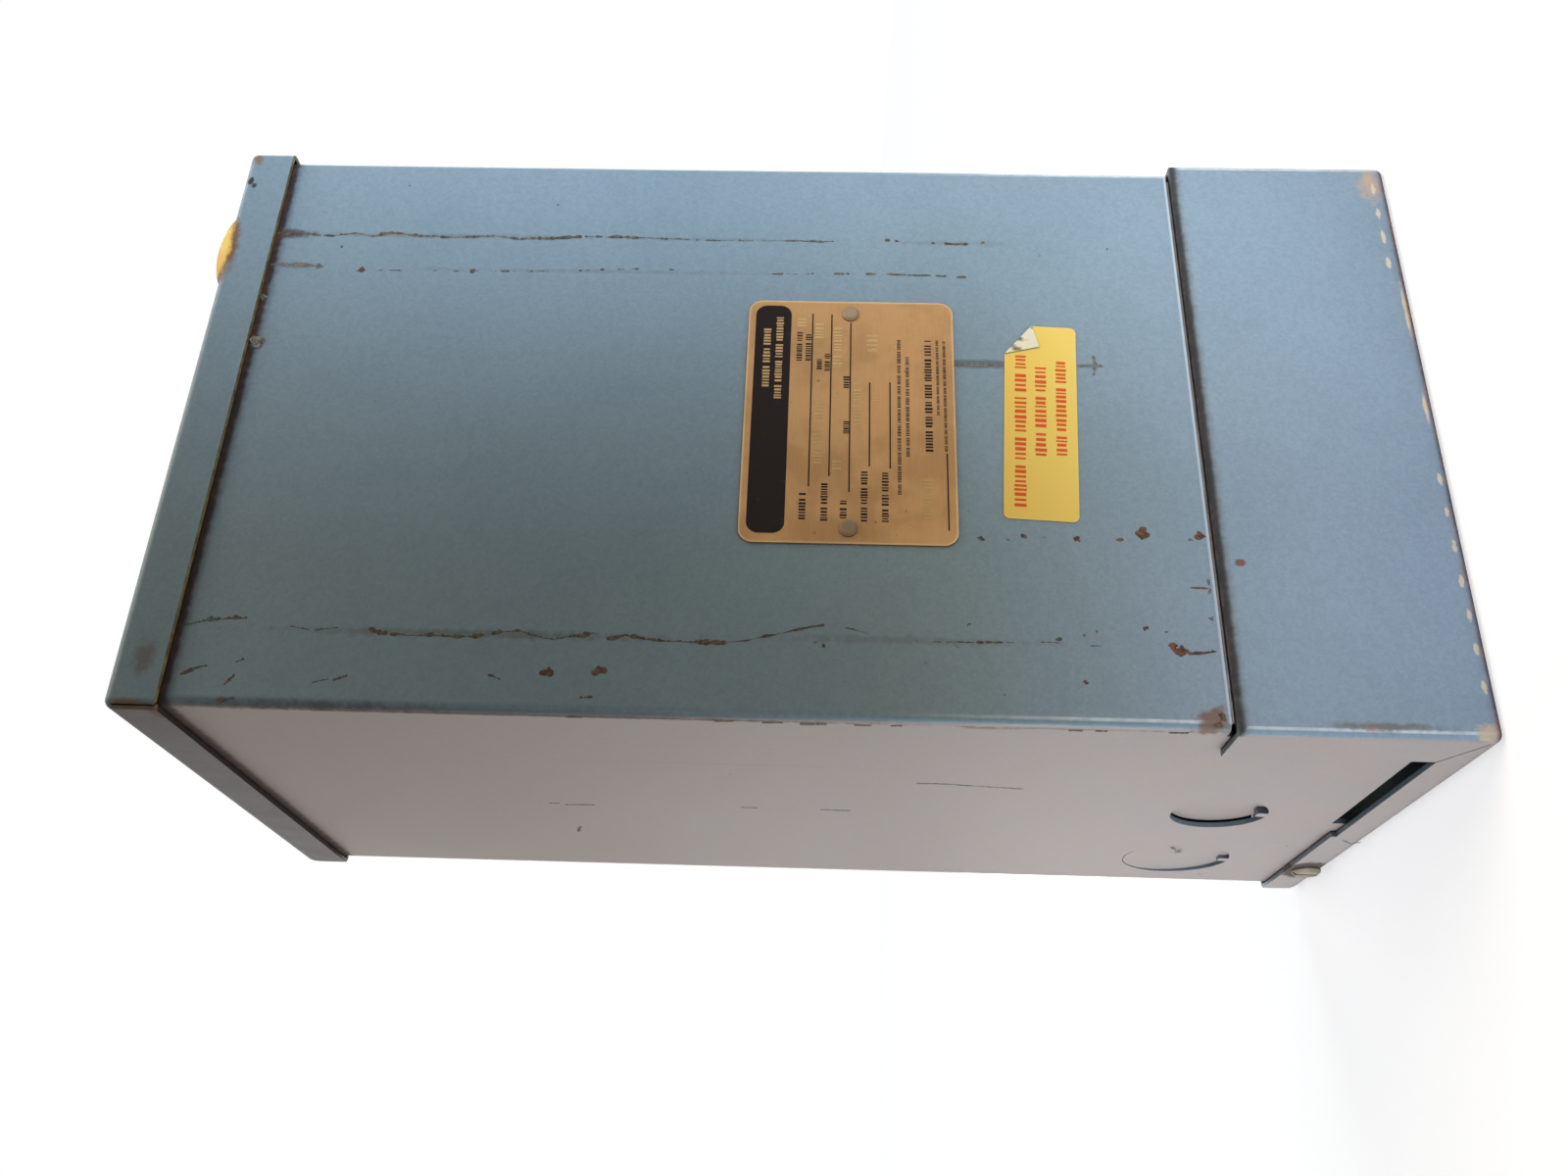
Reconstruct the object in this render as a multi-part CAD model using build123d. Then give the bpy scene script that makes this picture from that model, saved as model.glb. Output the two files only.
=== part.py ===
from build123d import *
import os
from math import atan2, degrees, hypot

# A wall-hung dry-type transformer in a folded sheet steel box.
# Its top cap and its removable wiring cover lap over a case that is one folded sheet.
# All sizes are millimetres. +Z is up, the front faces -Y, and the origin is the middle of the base.

# Overall size, over the flanges of the cap and the cover
overall_width = 188.0
overall_depth = 160.0
overall_height = 355.6

# Sheet steel and how it is folded
case_sheet = 1.5
back_sheet = 1.9
bend_radius = 2.5
rear_bend_radius = 4.5
lap_gap = 0.4

# Case: the front and both sides, with flanges turned in behind
rear_flange = 14.0
sill_height = 14.0
sill_flange = 11.0
sill_end_y = 2.0
front_relief = 3.0

# Top cap
cap_flange = 13.8
corner_slit = 0.5

# Worn swelling on the cap's front bend
swelling_x = 56.0
swelling_half_length = 15.5
swelling_rise = 3.4
swelling_drop = 3.0
swelling_depth = 3.6

# Wiring cover: an L of one sheet, with side flanges mitred at the corner
cover_height = 65.8
seam_gap = 1.2
cover_side_flange = 17.5
cover_bottom_flange = 11.6
cover_lip = 3.0
mitre_slit = 0.35
flange_step = 1.5
flange_step_y = 10.0

# Deck that carries the core and closes the wiring space
deck_above_seam = 12.0
deck_flange = 22.0

# Core and winding, potted into one block
core_head_room = 6.0
core_back_room = 14.0

# Knockouts in the side walls: one small and one large in each
knockout_height = 50.0
knockout_spacing = 52.5
small_knockout_diameter = 28.6
small_knockout_sink = 2.2
large_knockout_diameter = 34.9
large_knockout_from_back = 32.0
large_knockout_sink = 1.2
knockout_clearance = 0.25
tie_width = 3.2
tie_reach = 3.0

# Screws that hold the wiring cover to the side walls
screw_from_back = 29.0
screw_height = 5.6
screw_shank_diameter = 4.2
screw_head_diameter = 9.4
screw_head_height = 1.8
screw_head_slope = 1.0
screw_length = 9.0
screw_slot_width = 1.2
screw_slot_depth = 0.9
screw_clearance = 0.3

# Nameplate and its rivets
plate_width = 81.2
plate_height = 60.0
plate_thickness = 0.6
plate_corner = 4.0
plate_x = -1.2
plate_z = 164.5
rivet_inset = 4.6
rivet_head_diameter = 5.0
rivet_head_height = 1.1
rivet_head_slope = 0.7
rivet_shank_diameter = 3.2

# Paper label with one corner folded back
label_width = 65.0
label_height = 20.6
label_thickness = 0.25
label_corner = 1.8
label_tilt = -2.6
label_x = -0.7
label_z = 110.4
label_fold_width = 10.4
label_fold_height = 7.8
label_fold_lift = 0.15

# Mounting holes in the back panel
mount_spacing_x = 114.3
mount_spacing_z = 266.7
mount_low_height = 38.1
mount_hole_diameter = 7.2
keyhole_entry_diameter = 14.5
keyhole_travel = 13.0
back_side_inset = 1.0
back_seam = 0.8

# Values that follow from the sizes above
flange_proud = case_sheet + lap_gap
case_width = overall_width - 2 * flange_proud
cover_front = -overall_depth / 2
case_front = cover_front + flange_proud
back_face = overall_depth / 2
wall_rear = back_face - back_sheet
wall_outer = case_width / 2
wall_inner = wall_outer - case_sheet
case_top = overall_height - case_sheet
seam_height = cover_height + seam_gap
deck_height = seam_height + deck_above_seam
inner_front = case_front + case_sheet
inner_rear = wall_rear - case_sheet
inner_bend = bend_radius - case_sheet
rear_inner_bend = rear_bend_radius - case_sheet
large_knockout_y = back_face - large_knockout_from_back
small_knockout_y = large_knockout_y - knockout_spacing
screw_y = back_face - screw_from_back
rim_ease = min(inner_bend, 0.8 * case_sheet)
beyond = 4 * overall_height


def block(x_span, y_span, z_span):
    """A box between two limits along each axis."""
    corner = (x_span[0], y_span[0], z_span[0])
    size = (x_span[1] - x_span[0], y_span[1] - y_span[0], z_span[1] - z_span[0])
    return Pos(*corner) * Box(*size, align=(Align.MIN, Align.MIN, Align.MIN))


def across(half_width):
    """Both limits of something centred on the case's middle plane."""
    return (-half_width, half_width)


def upright_edges(solid, corners, reach=0.01):
    """The upright edges of a solid at the given plan corners."""
    return [
        edge
        for edge in solid.edges().filter_by(Axis.Z)
        if any(hypot(edge.center().X - x, edge.center().Y - y) < reach for x, y in corners)
    ]


def side_rod(diameter, y, z, side):
    """A round rod along X on one side, from the middle plane out past the side wall."""
    rod = Cylinder(diameter / 2, overall_width, align=(Align.CENTER, Align.CENTER, Align.MIN))
    return Pos(0, y, z) * Rot(0, 90 * side, 0) * rod


def rear_rod(diameter, x, z):
    """A round rod along Y through the back panel."""
    return Pos(x, back_face, z) * Rot(90, 0, 0) * Cylinder(diameter / 2, 2 * rear_flange)


def front_rod(diameter, x, z):
    """A round rod along Y through the front wall."""
    return Pos(x, case_front, z) * Rot(90, 0, 0) * Cylinder(diameter / 2, 2 * rear_flange)


def rounded(solid, is_edge, radius):
    """A solid with the edges that a test picks rounded off."""
    return fillet([edge for edge in solid.edges() if is_edge(edge.center())], radius)


def case_shell():
    """Front and side walls, folded from one sheet, with flanges turned in behind and below."""
    middle_y = (case_front + wall_rear) / 2
    depth = wall_rear - case_front
    outer = Pos(0, middle_y) * RectangleRounded(case_width, depth, bend_radius)
    inner_size = (case_width - 2 * case_sheet, depth - 2 * case_sheet)
    inner = Pos(0, middle_y) * RectangleRounded(*inner_size, inner_bend)
    opening = Pos(0, wall_rear) * Rectangle(case_width - 2 * rear_flange, 4 * bend_radius)
    plan = outer - inner - opening
    shell = Pos(0, 0, case_sheet) * extrude(plan, case_top - case_sheet)
    shell = chamfer([edge for edge in shell.edges() if on_rim(edge.center())], rim_ease)
    behind = (wall_rear - rear_inner_bend, beyond)
    shell -= block(across(case_width), behind, (case_top - rear_inner_bend, beyond))
    shell -= block(across(case_width), behind, (0, case_sheet + rear_inner_bend))

    front_cut = (case_front - 1, case_front + bend_radius + front_relief)
    shell -= block(across(case_width), front_cut, (0, seam_height))
    shell -= block(across(case_width), (case_front - 1, sill_end_y), (0, sill_height))
    for side in (-1, 1):
        shell += sill(side)
        shell -= side_rod(small_knockout_diameter, small_knockout_y, knockout_height, side)
        shell -= side_rod(large_knockout_diameter, large_knockout_y, knockout_height, side)
        shell -= side_rod(screw_shank_diameter, screw_y, screw_height, side)
    for x in rivet_places():
        shell -= front_rod(rivet_shank_diameter, x, plate_z)
    return shell


def on_rim(centre):
    """Whether an edge centre lies on the outer top or bottom edge of the front or a side wall."""
    at_end = centre.Z > case_top - 0.01 or centre.Z < case_sheet + 0.01
    near_side = abs(centre.X) > wall_outer - bend_radius / 2
    near_front = centre.Y < case_front + bend_radius / 2
    return at_end and (near_side or near_front)


def sill(side):
    """The flange turned in along the front half of one side wall's lower edge."""
    front = case_front + bend_radius + front_relief
    bottom_outer = side * wall_outer
    strip = block(
        tuple(sorted((bottom_outer, bottom_outer - side * sill_flange))),
        (front, sill_end_y),
        (sill_height, sill_height + case_sheet),
    )
    upstand = block(
        tuple(sorted((bottom_outer, side * wall_inner))),
        (front, sill_end_y),
        (sill_height, sill_height + 2 * bend_radius),
    )
    return strip + upstand


def back_panel():
    """The flat mounting plate, with two keyholes above and two round holes below."""
    half = wall_outer - back_side_inset
    z_span = (cover_bottom_flange + back_seam, overall_height - cap_flange - back_seam)
    panel = block(across(half), (wall_rear, back_face), z_span)
    seat_z = mount_low_height + mount_spacing_z
    entry_z = seat_z - keyhole_travel
    for x in across(mount_spacing_x / 2):
        panel -= rear_rod(mount_hole_diameter, x, mount_low_height)
        panel -= rear_rod(mount_hole_diameter, x, seat_z)
        panel -= rear_rod(keyhole_entry_diameter, x, entry_z)
        neck = across(mount_hole_diameter / 2)
        panel -= block((x + neck[0], x + neck[1]), (0, beyond), (entry_z, seat_z))
    return panel


def top_cap():
    """A shallow folded pan over the case, its corners open along a slit."""
    bottom = overall_height - cap_flange
    half = overall_width / 2
    inner = half - case_sheet
    inner_y = (cover_front + case_sheet, back_face - case_sheet)
    pan = block(across(half), (cover_front, back_face), (bottom, overall_height))
    room = block(across(inner), inner_y, (0, case_top))
    pan = rounded(pan, lambda c: is_rear_fold(c, overall_height, back_face), rear_bend_radius)
    room = rounded(room, lambda c: is_rear_fold(c, case_top, inner_y[1]), rear_inner_bend)
    pan = rounded(pan, lambda c: is_fold(c, half, overall_height), bend_radius)
    room = rounded(room, lambda c: is_fold(c, inner, case_top), inner_bend)
    pan -= room

    slit_height = cap_flange - bend_radius
    for side in (-1, 1):
        slit = Box(corner_slit, 4 * bend_radius, slit_height)
        place = Pos(side * half, cover_front, bottom + slit_height / 2)
        pan -= place * Rot(0, 0, 45 * side) * slit
    return pan + (swelling() - room)


def is_fold(centre, half, top):
    """Whether an edge centre lies on the front or side folds of a pan of this half width and top."""
    on_side = abs(centre.X) > half - 0.01
    on_front = centre.Y < -overall_depth / 2 + 2 * case_sheet
    on_top = centre.Z > top - 0.01
    return (on_top and (on_side or on_front)) or (on_side and on_front)


def is_rear_fold(centre, level, rear):
    """Whether an edge centre lies on the fold where a level sheet turns at its rear edge."""
    return abs(centre.Z - level) < 0.01 and centre.Y > rear - 0.01


def swelling():
    """The worn swelling that stands over the cap's front bend."""
    ball = scale(Sphere(1), (swelling_half_length, swelling_depth, swelling_rise + swelling_drop))
    lens = Pos(swelling_x, cover_front + swelling_depth, overall_height - swelling_drop) * ball
    return lens & block(across(overall_width / 2), (cover_front, beyond), (case_top - case_sheet, beyond))


def wiring_cover():
    """The removable L-shaped cover: front and bottom of the wiring space in one sheet."""
    half = overall_width / 2
    inner = half - case_sheet
    inner_y = cover_front + case_sheet
    rear_y = back_face - case_sheet
    front_leg = (cover_front, cover_front + cover_side_flange)
    body = block(across(half), front_leg, (0, cover_height))
    body += block(across(half), (cover_front, back_face), (0, cover_bottom_flange))
    room = block(across(inner), (inner_y, rear_y), (case_sheet, cover_height - case_sheet))

    def is_outer_fold(c):
        on_front = c.Y < cover_front + 0.01
        on_side = abs(c.X) > half - 0.01
        on_bottom = c.Z < 0.01
        on_top = c.Z > cover_height - 0.01
        return (on_front and on_side) or (on_bottom and (on_side or on_front)) or (on_top and on_front)

    def is_inner_fold(c):
        on_front = c.Y < inner_y + 0.01
        on_side = abs(c.X) > inner - 0.01
        on_bottom = c.Z < case_sheet + 0.01
        on_top = c.Z > cover_height - case_sheet - 0.01
        return (on_front and on_side) or (on_bottom and (on_side or on_front)) or (on_top and on_front)

    body = rounded(body, lambda c: is_rear_fold(c, 0, back_face), rear_bend_radius)
    room = rounded(room, lambda c: is_rear_fold(c, case_sheet, rear_y), rear_inner_bend)
    body = rounded(body, is_outer_fold, bend_radius)
    room = rounded(room, is_inner_fold, inner_bend)
    mouth = block(across(inner), (cover_front + cover_lip, rear_y), (cover_bottom_flange, beyond))
    body -= room + mouth

    for side in (-1, 1):
        body -= mitre(side)
        body -= side_rod(screw_shank_diameter + 2 * screw_clearance, screw_y, screw_height, side)
    step_y = (cover_front + cover_side_flange, flange_step_y)
    step_z = (cover_bottom_flange - flange_step, cover_bottom_flange + flange_step)
    return body - block(across(overall_width), step_y, step_z)


def mitre(side):
    """A narrow cut on the diagonal where the two side flanges of the cover meet."""
    run_y = cover_side_flange - bend_radius
    run_z = cover_bottom_flange - flange_step - bend_radius
    length = hypot(run_y, run_z)
    blade = Box(4 * case_sheet, length + 2 * mitre_slit, mitre_slit)
    start = Pos(side * overall_width / 2, cover_front + bend_radius, bend_radius)
    return start * Rot(degrees(atan2(run_z, run_y)), 0, 0) * Pos(0, length / 2 + 2 * mitre_slit, 0) * blade


def compartment_deck():
    """The plate between the core and the wiring space, turned down behind the seam."""
    deck_z = (deck_height, deck_height + case_sheet)
    deck = block(across(wall_inner), (inner_front, inner_rear), deck_z)
    corners = [(x, inner_front) for x in across(wall_inner)]
    corners += [(x, inner_rear) for x in across(wall_inner)]
    deck = fillet(upright_edges(deck, corners), inner_bend)
    apron_z = (deck_height + case_sheet - deck_flange, deck_height + case_sheet)
    apron = block(across(wall_inner - inner_bend), (inner_front, inner_front + case_sheet), apron_z)
    return deck + apron


def core_block():
    """The core and its winding, potted into one block that stands on the deck."""
    bottom = deck_height + case_sheet
    rear = inner_rear - core_back_room
    core = block(across(wall_inner), (inner_front, rear), (bottom, case_top - core_head_room))
    front_corners = [(x, inner_front) for x in across(wall_inner)]
    return fillet(upright_edges(core, front_corners), inner_bend)


def knockout(diameter, y, sink, tilt, side):
    """A half-punched disc in a side wall, sunk or tilted and still held by one tie below it."""
    radius = diameter / 2
    face = Cylinder(radius - knockout_clearance, case_sheet)
    tie_length = tie_reach + knockout_clearance
    tie = Pos(radius - tie_length / 2, 0, 0) * Box(tie_length, tie_width, 2 * sink + case_sheet)
    tie &= Cylinder(radius, beyond)
    tie &= Pos(0, 0, sink / 2) * Box(beyond, beyond, sink + case_sheet)
    lowered = -case_sheet / 2 - (sink if tilt == 0 else sink / 2)
    disc = Pos(0, 0, lowered) * (Rot(0, tilt, 0) * face)
    tie = Pos(0, 0, -case_sheet / 2 - sink) * tie
    placed = Pos(wall_outer, y, knockout_height) * Rot(0, 90, 0) * (disc + tie)
    return placed if side > 0 else mirror(placed, about=Plane.YZ)


def cover_screw(side):
    """A round-headed slotted screw through the cover's flange into the side wall."""
    head = Cylinder(
        screw_head_diameter / 2, screw_head_height, align=(Align.CENTER, Align.CENTER, Align.MIN)
    )
    head = chamfer(head.edges().group_by(Axis.Z)[-1], screw_head_slope)
    slot_z = screw_head_height - screw_slot_depth / 2
    head -= Pos(0, 0, slot_z) * Box(2 * screw_head_diameter, screw_slot_width, screw_slot_depth)
    shank = Cylinder(
        screw_shank_diameter / 2, screw_length, align=(Align.CENTER, Align.CENTER, Align.MAX)
    )
    return Pos(side * overall_width / 2, screw_y, screw_height) * Rot(0, 90 * side, 0) * (head + shank)


def rivet_places():
    """The two places along X where the nameplate is riveted."""
    reach = plate_width / 2 - rivet_inset
    return (plate_x - reach, plate_x + reach)


def nameplate():
    """A thin plate with round corners, riveted at the middle of its two short sides."""
    outline = RectangleRounded(plate_width, plate_height, plate_corner)
    for x in rivet_places():
        outline -= Pos(x - plate_x, 0) * Circle(rivet_shank_diameter / 2)
    plate = extrude(outline, plate_thickness)
    return Pos(plate_x, case_front, plate_z) * Rot(90, 0, 0) * plate


def nameplate_rivet(x):
    """A low-headed rivet through the nameplate and the front wall."""
    head = Cylinder(
        rivet_head_diameter / 2, rivet_head_height, align=(Align.CENTER, Align.CENTER, Align.MIN)
    )
    head = chamfer(head.edges().group_by(Axis.Z)[-1], rivet_head_slope)
    shank_length = plate_thickness + case_sheet
    shank = Cylinder(
        rivet_shank_diameter / 2, shank_length, align=(Align.CENTER, Align.CENTER, Align.MAX)
    )
    return Pos(x, case_front - plate_thickness, plate_z) * Rot(90, 0, 0) * (head + shank)


def rating_label():
    """A paper label; its upper right corner is folded back over its face."""
    half_w = label_width / 2
    half_h = label_height / 2
    fold = [
        (half_w - label_fold_width, half_h),
        (half_w, half_h - label_fold_height),
    ]
    outline = RectangleRounded(label_width, label_height, label_corner)
    outline -= make_face(Polyline(*fold, (half_w + 1, half_h + 1), close=True))
    sheet = extrude(outline, label_thickness)

    slope = Vector(label_fold_width, -label_fold_height).normalized()
    normal = Vector(slope.Y, -slope.X)
    corner = Vector(half_w, half_h)
    offset = corner - Vector(*fold[0])
    mirrored = corner - normal * (2 * offset.dot(normal))
    flap = make_face(Polyline(*fold, (mirrored.X, mirrored.Y), close=True))
    lifted = Pos(0, 0, label_thickness) * extrude(flap, label_thickness + label_fold_lift)
    return Pos(label_x, case_front, label_z) * Rot(90, 0, 0) * Rot(0, 0, label_tilt) * (sheet + lifted)


pieces = {
    "case_shell": case_shell(),
    "back_panel": back_panel(),
    "top_cap": top_cap(),
    "wiring_cover": wiring_cover(),
    "compartment_deck": compartment_deck(),
    "core_block": core_block(),
    "nameplate": nameplate(),
    "nameplate_rivet_left": nameplate_rivet(rivet_places()[0]),
    "nameplate_rivet_right": nameplate_rivet(rivet_places()[1]),
    "rating_label": rating_label(),
}
large_tilt = degrees(atan2(large_knockout_sink, large_knockout_diameter))
for name, side in (("left", -1), ("right", 1)):
    pieces[f"{name}_small_knockout"] = knockout(
        small_knockout_diameter, small_knockout_y, small_knockout_sink, 0, side
    )
    pieces[f"{name}_large_knockout"] = knockout(
        large_knockout_diameter, large_knockout_y, large_knockout_sink, large_tilt, side
    )
    pieces[f"{name}_cover_screw"] = cover_screw(side)

os.makedirs("parts", exist_ok=True)
for name, shape in pieces.items():
    export_step(shape, f"parts/{name}.step")
    print(name, len(shape.solids()), round(shape.volume, 1))
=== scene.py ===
"""Looks of a wall-hung dry-type transformer: worn enamel, riveted plate, paper label and rust."""

import logging
import math
import random
from dataclasses import dataclass
from enum import Enum

import bmesh
import bpy
from mathutils import Matrix, Vector


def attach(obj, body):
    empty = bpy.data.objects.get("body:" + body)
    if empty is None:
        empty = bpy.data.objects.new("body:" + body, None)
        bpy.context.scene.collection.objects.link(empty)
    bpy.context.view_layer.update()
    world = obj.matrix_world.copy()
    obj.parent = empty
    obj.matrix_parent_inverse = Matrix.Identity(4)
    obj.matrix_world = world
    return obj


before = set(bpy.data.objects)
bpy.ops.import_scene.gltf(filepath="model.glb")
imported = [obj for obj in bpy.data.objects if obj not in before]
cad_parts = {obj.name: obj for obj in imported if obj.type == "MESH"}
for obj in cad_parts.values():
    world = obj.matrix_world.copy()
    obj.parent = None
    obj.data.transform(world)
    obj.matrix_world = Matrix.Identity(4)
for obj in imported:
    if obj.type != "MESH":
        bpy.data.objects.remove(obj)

LOG = logging.getLogger("transformer")
MM = 0.001
ROOT = "root"
WHITE = (1.0, 1.0, 1.0)
HALF = (0.5, 0.5, 0.5)
SRGB_TOE = 0.04045
SRGB_SLOPE = 12.92
SRGB_LIFT = 0.055
SRGB_POWER = 2.4

Point = tuple[float, float, float]
Colour = tuple[float, float, float]
Range = tuple[float, float]


class Slot(str, Enum):
    """Three of the record's slots, named here; nothing in this script uses them."""

    ENAMEL = "enamel"
    PLATE = "plate"
    LABEL = "label"


def linear(red: int, green: int, blue: int) -> Colour:
    """Turn display values into scene-linear ones.

    Args:
        red: Red from 0 to 255.
        green: Green from 0 to 255.
        blue: Blue from 0 to 255.

    Returns:
        The scene-linear colour.
    """
    shares = (value / 255 for value in (red, green, blue))
    return tuple(
        s / SRGB_SLOPE if s <= SRGB_TOE else ((s + SRGB_LIFT) / (1 + SRGB_LIFT)) ** SRGB_POWER
        for s in shares
    )


def metres(point: Point) -> Point:
    """Turn a place in millimetres into metres."""
    return tuple(value * MM for value in point)


# Node helpers


class Graph:
    """Adds nodes to one node tree and links them."""

    def __init__(self, tree: bpy.types.NodeTree) -> None:
        """Keep the shader or geometry tree to fill."""
        self.tree = tree

    def node(self, kind: str, inputs: dict | None = None, **settings: object) -> bpy.types.Node:
        """Add a node.

        Args:
            kind: The node's type name.
            inputs: Sockets or constants for its inputs, by name or number.
            **settings: Properties to set on it first.

        Returns:
            The new node.
        """
        made = self.tree.nodes.new(kind)
        for key, value in settings.items():
            setattr(made, key, value)
        for key, value in (inputs or {}).items():
            self.feed(made.inputs[key], value)
        return made

    def feed(self, socket: bpy.types.NodeSocket, value: object) -> None:
        """Link a socket to another one, or set its constant.

        Args:
            socket: The input to fill.
            value: An output socket or a constant.
        """
        if isinstance(value, bpy.types.NodeSocket):
            self.tree.links.new(value, socket)
        elif isinstance(value, tuple) and len(value) == 3 and socket.type == "RGBA":
            socket.default_value = (*value, 1.0)
        else:
            socket.default_value = value

    def math(self, operation: str, a: object, b: object = 0.0, clamp: bool = False) -> object:
        """Add a math node.

        Args:
            operation: The math operation.
            a: First value.
            b: Second value.
            clamp: Whether the result stays from 0 to 1.

        Returns:
            The result's socket.
        """
        made = self.node("ShaderNodeMath", {0: a, 1: b}, operation=operation, use_clamp=clamp)
        return made.outputs[0]

    def times(self, a: object, b: object) -> object:
        """Multiply two numbers."""
        return self.math("MULTIPLY", a, b)

    def vector(self, operation: str, a: object, b: object = (0.0, 0.0, 0.0)) -> object:
        """Add a vector math node.

        Args:
            operation: The vector operation.
            a: First vector.
            b: Second vector, or the scale for SCALE.

        Returns:
            The result's socket, a number for LENGTH and DOT_PRODUCT.
        """
        second = "Scale" if operation == "SCALE" else 1
        made = self.node("ShaderNodeVectorMath", {0: a, second: b}, operation=operation)
        return made.outputs["Value" if operation in ("LENGTH", "DOT_PRODUCT") else "Vector"]

    def ramp(self, value: object, start: object, end: object) -> object:
        """Rise smoothly from 0 to 1 while a value goes from start to end.

        Args:
            value: The value to map.
            start: Where the result is 0.
            end: Where the result is 1.

        Returns:
            The result's socket.
        """
        inputs = {"Value": value, "From Min": start, "From Max": end}
        made = self.node("ShaderNodeMapRange", inputs, interpolation_type="SMOOTHSTEP")
        return made.outputs["Result"]

    def mix(self, factor: object, a: object, b: object) -> object:
        """Mix two colours, where the factor 0 gives the first and 1 the second."""
        # The node has a pair of sockets for each kind of value, found by number.
        made = self.node("ShaderNodeMix", {"Factor": factor, 6: a, 7: b}, data_type="RGBA")
        return made.outputs[2]

    def blend(self, factor: object, a: object, b: object) -> object:
        """Mix two numbers, where the factor 0 gives the first and 1 the second."""
        made = self.node("ShaderNodeMix", {"Factor": factor, 2: a, 3: b}, data_type="FLOAT")
        return made.outputs[0]

    def noise(
        self, place: object, scale: object, detail: float, rough: float, coloured: bool = False
    ) -> object:
        """Add fractal noise.

        Args:
            place: The coordinates.
            scale: The noise's scale.
            detail: How many octaves.
            rough: How much of each finer octave.
            coloured: Whether three noises come out, as a vector.

        Returns:
            The noise's socket.
        """
        inputs = {"Vector": place, "Scale": scale, "Detail": detail, "Roughness": rough}
        return self.node("ShaderNodeTexNoise", inputs).outputs["Color" if coloured else 0]

    def place(self) -> object:
        """Read object coordinates, in metres."""
        return self.node("ShaderNodeTexCoord").outputs["Object"]

    def split(self, vector: object) -> tuple[object, object, object]:
        """Take a vector apart into its three numbers."""
        return tuple(self.node("ShaderNodeSeparateXYZ", {0: vector}).outputs)

    def join(self, x: object, y: object, z: object) -> object:
        """Put a vector together from three numbers."""
        return self.node("ShaderNodeCombineXYZ", {0: x, 1: y, 2: z}).outputs[0]

    def use(self, group: bpy.types.NodeTree, **inputs: object) -> bpy.types.Node:
        """Add a shared group.

        Args:
            group: The group's tree.
            **inputs: Values for its inputs, with _ for each space.

        Returns:
            The group node.
        """
        named = {key.replace("_", " "): value for key, value in inputs.items()}
        return self.node("ShaderNodeGroup", named, node_tree=group)


class GroupTree(Graph):
    """A node group with named inputs and outputs."""

    KINDS = {
        "value": "NodeSocketFloat",
        "vector": "NodeSocketVector",
        "count": "NodeSocketInt",
        "geometry": "NodeSocketGeometry",
        "material": "NodeSocketMaterial",
    }

    def __init__(
        self,
        name: str,
        inputs: dict[str, tuple],
        outputs: dict[str, str],
        kind: str = "ShaderNodeTree",
    ) -> None:
        """Make the group and its sockets.

        Args:
            name: The group's name.
            inputs: For each input its kind and default value.
            outputs: For each output its kind.
            kind: The tree's type name.
        """
        tree = bpy.data.node_groups.new(name, kind)
        super().__init__(tree)
        for label, (sort, default) in inputs.items():
            socket = tree.interface.new_socket(label, in_out="INPUT", socket_type=self.KINDS[sort])
            if default is not None:
                socket.default_value = default
        for label, sort in outputs.items():
            tree.interface.new_socket(label, in_out="OUTPUT", socket_type=self.KINDS[sort])
        self.given = self.node("NodeGroupInput").outputs
        self.result = self.node("NodeGroupOutput").inputs

    def identifier(self, label: str) -> str:
        """Find the socket identifier of an input by its name."""
        items = self.tree.interface.items_tree
        return next(s.identifier for s in items if s.name == label and s.in_out == "INPUT")

    def paint(self, shape: object) -> None:
        """Set the material that the group is given, and put the shape out."""
        inputs = {"Geometry": shape, "Material": self.given["Finish"]}
        self.feed(self.result["Mesh"], self.node("GeometryNodeSetMaterial", inputs).outputs[0])


# Shared shader groups


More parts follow.
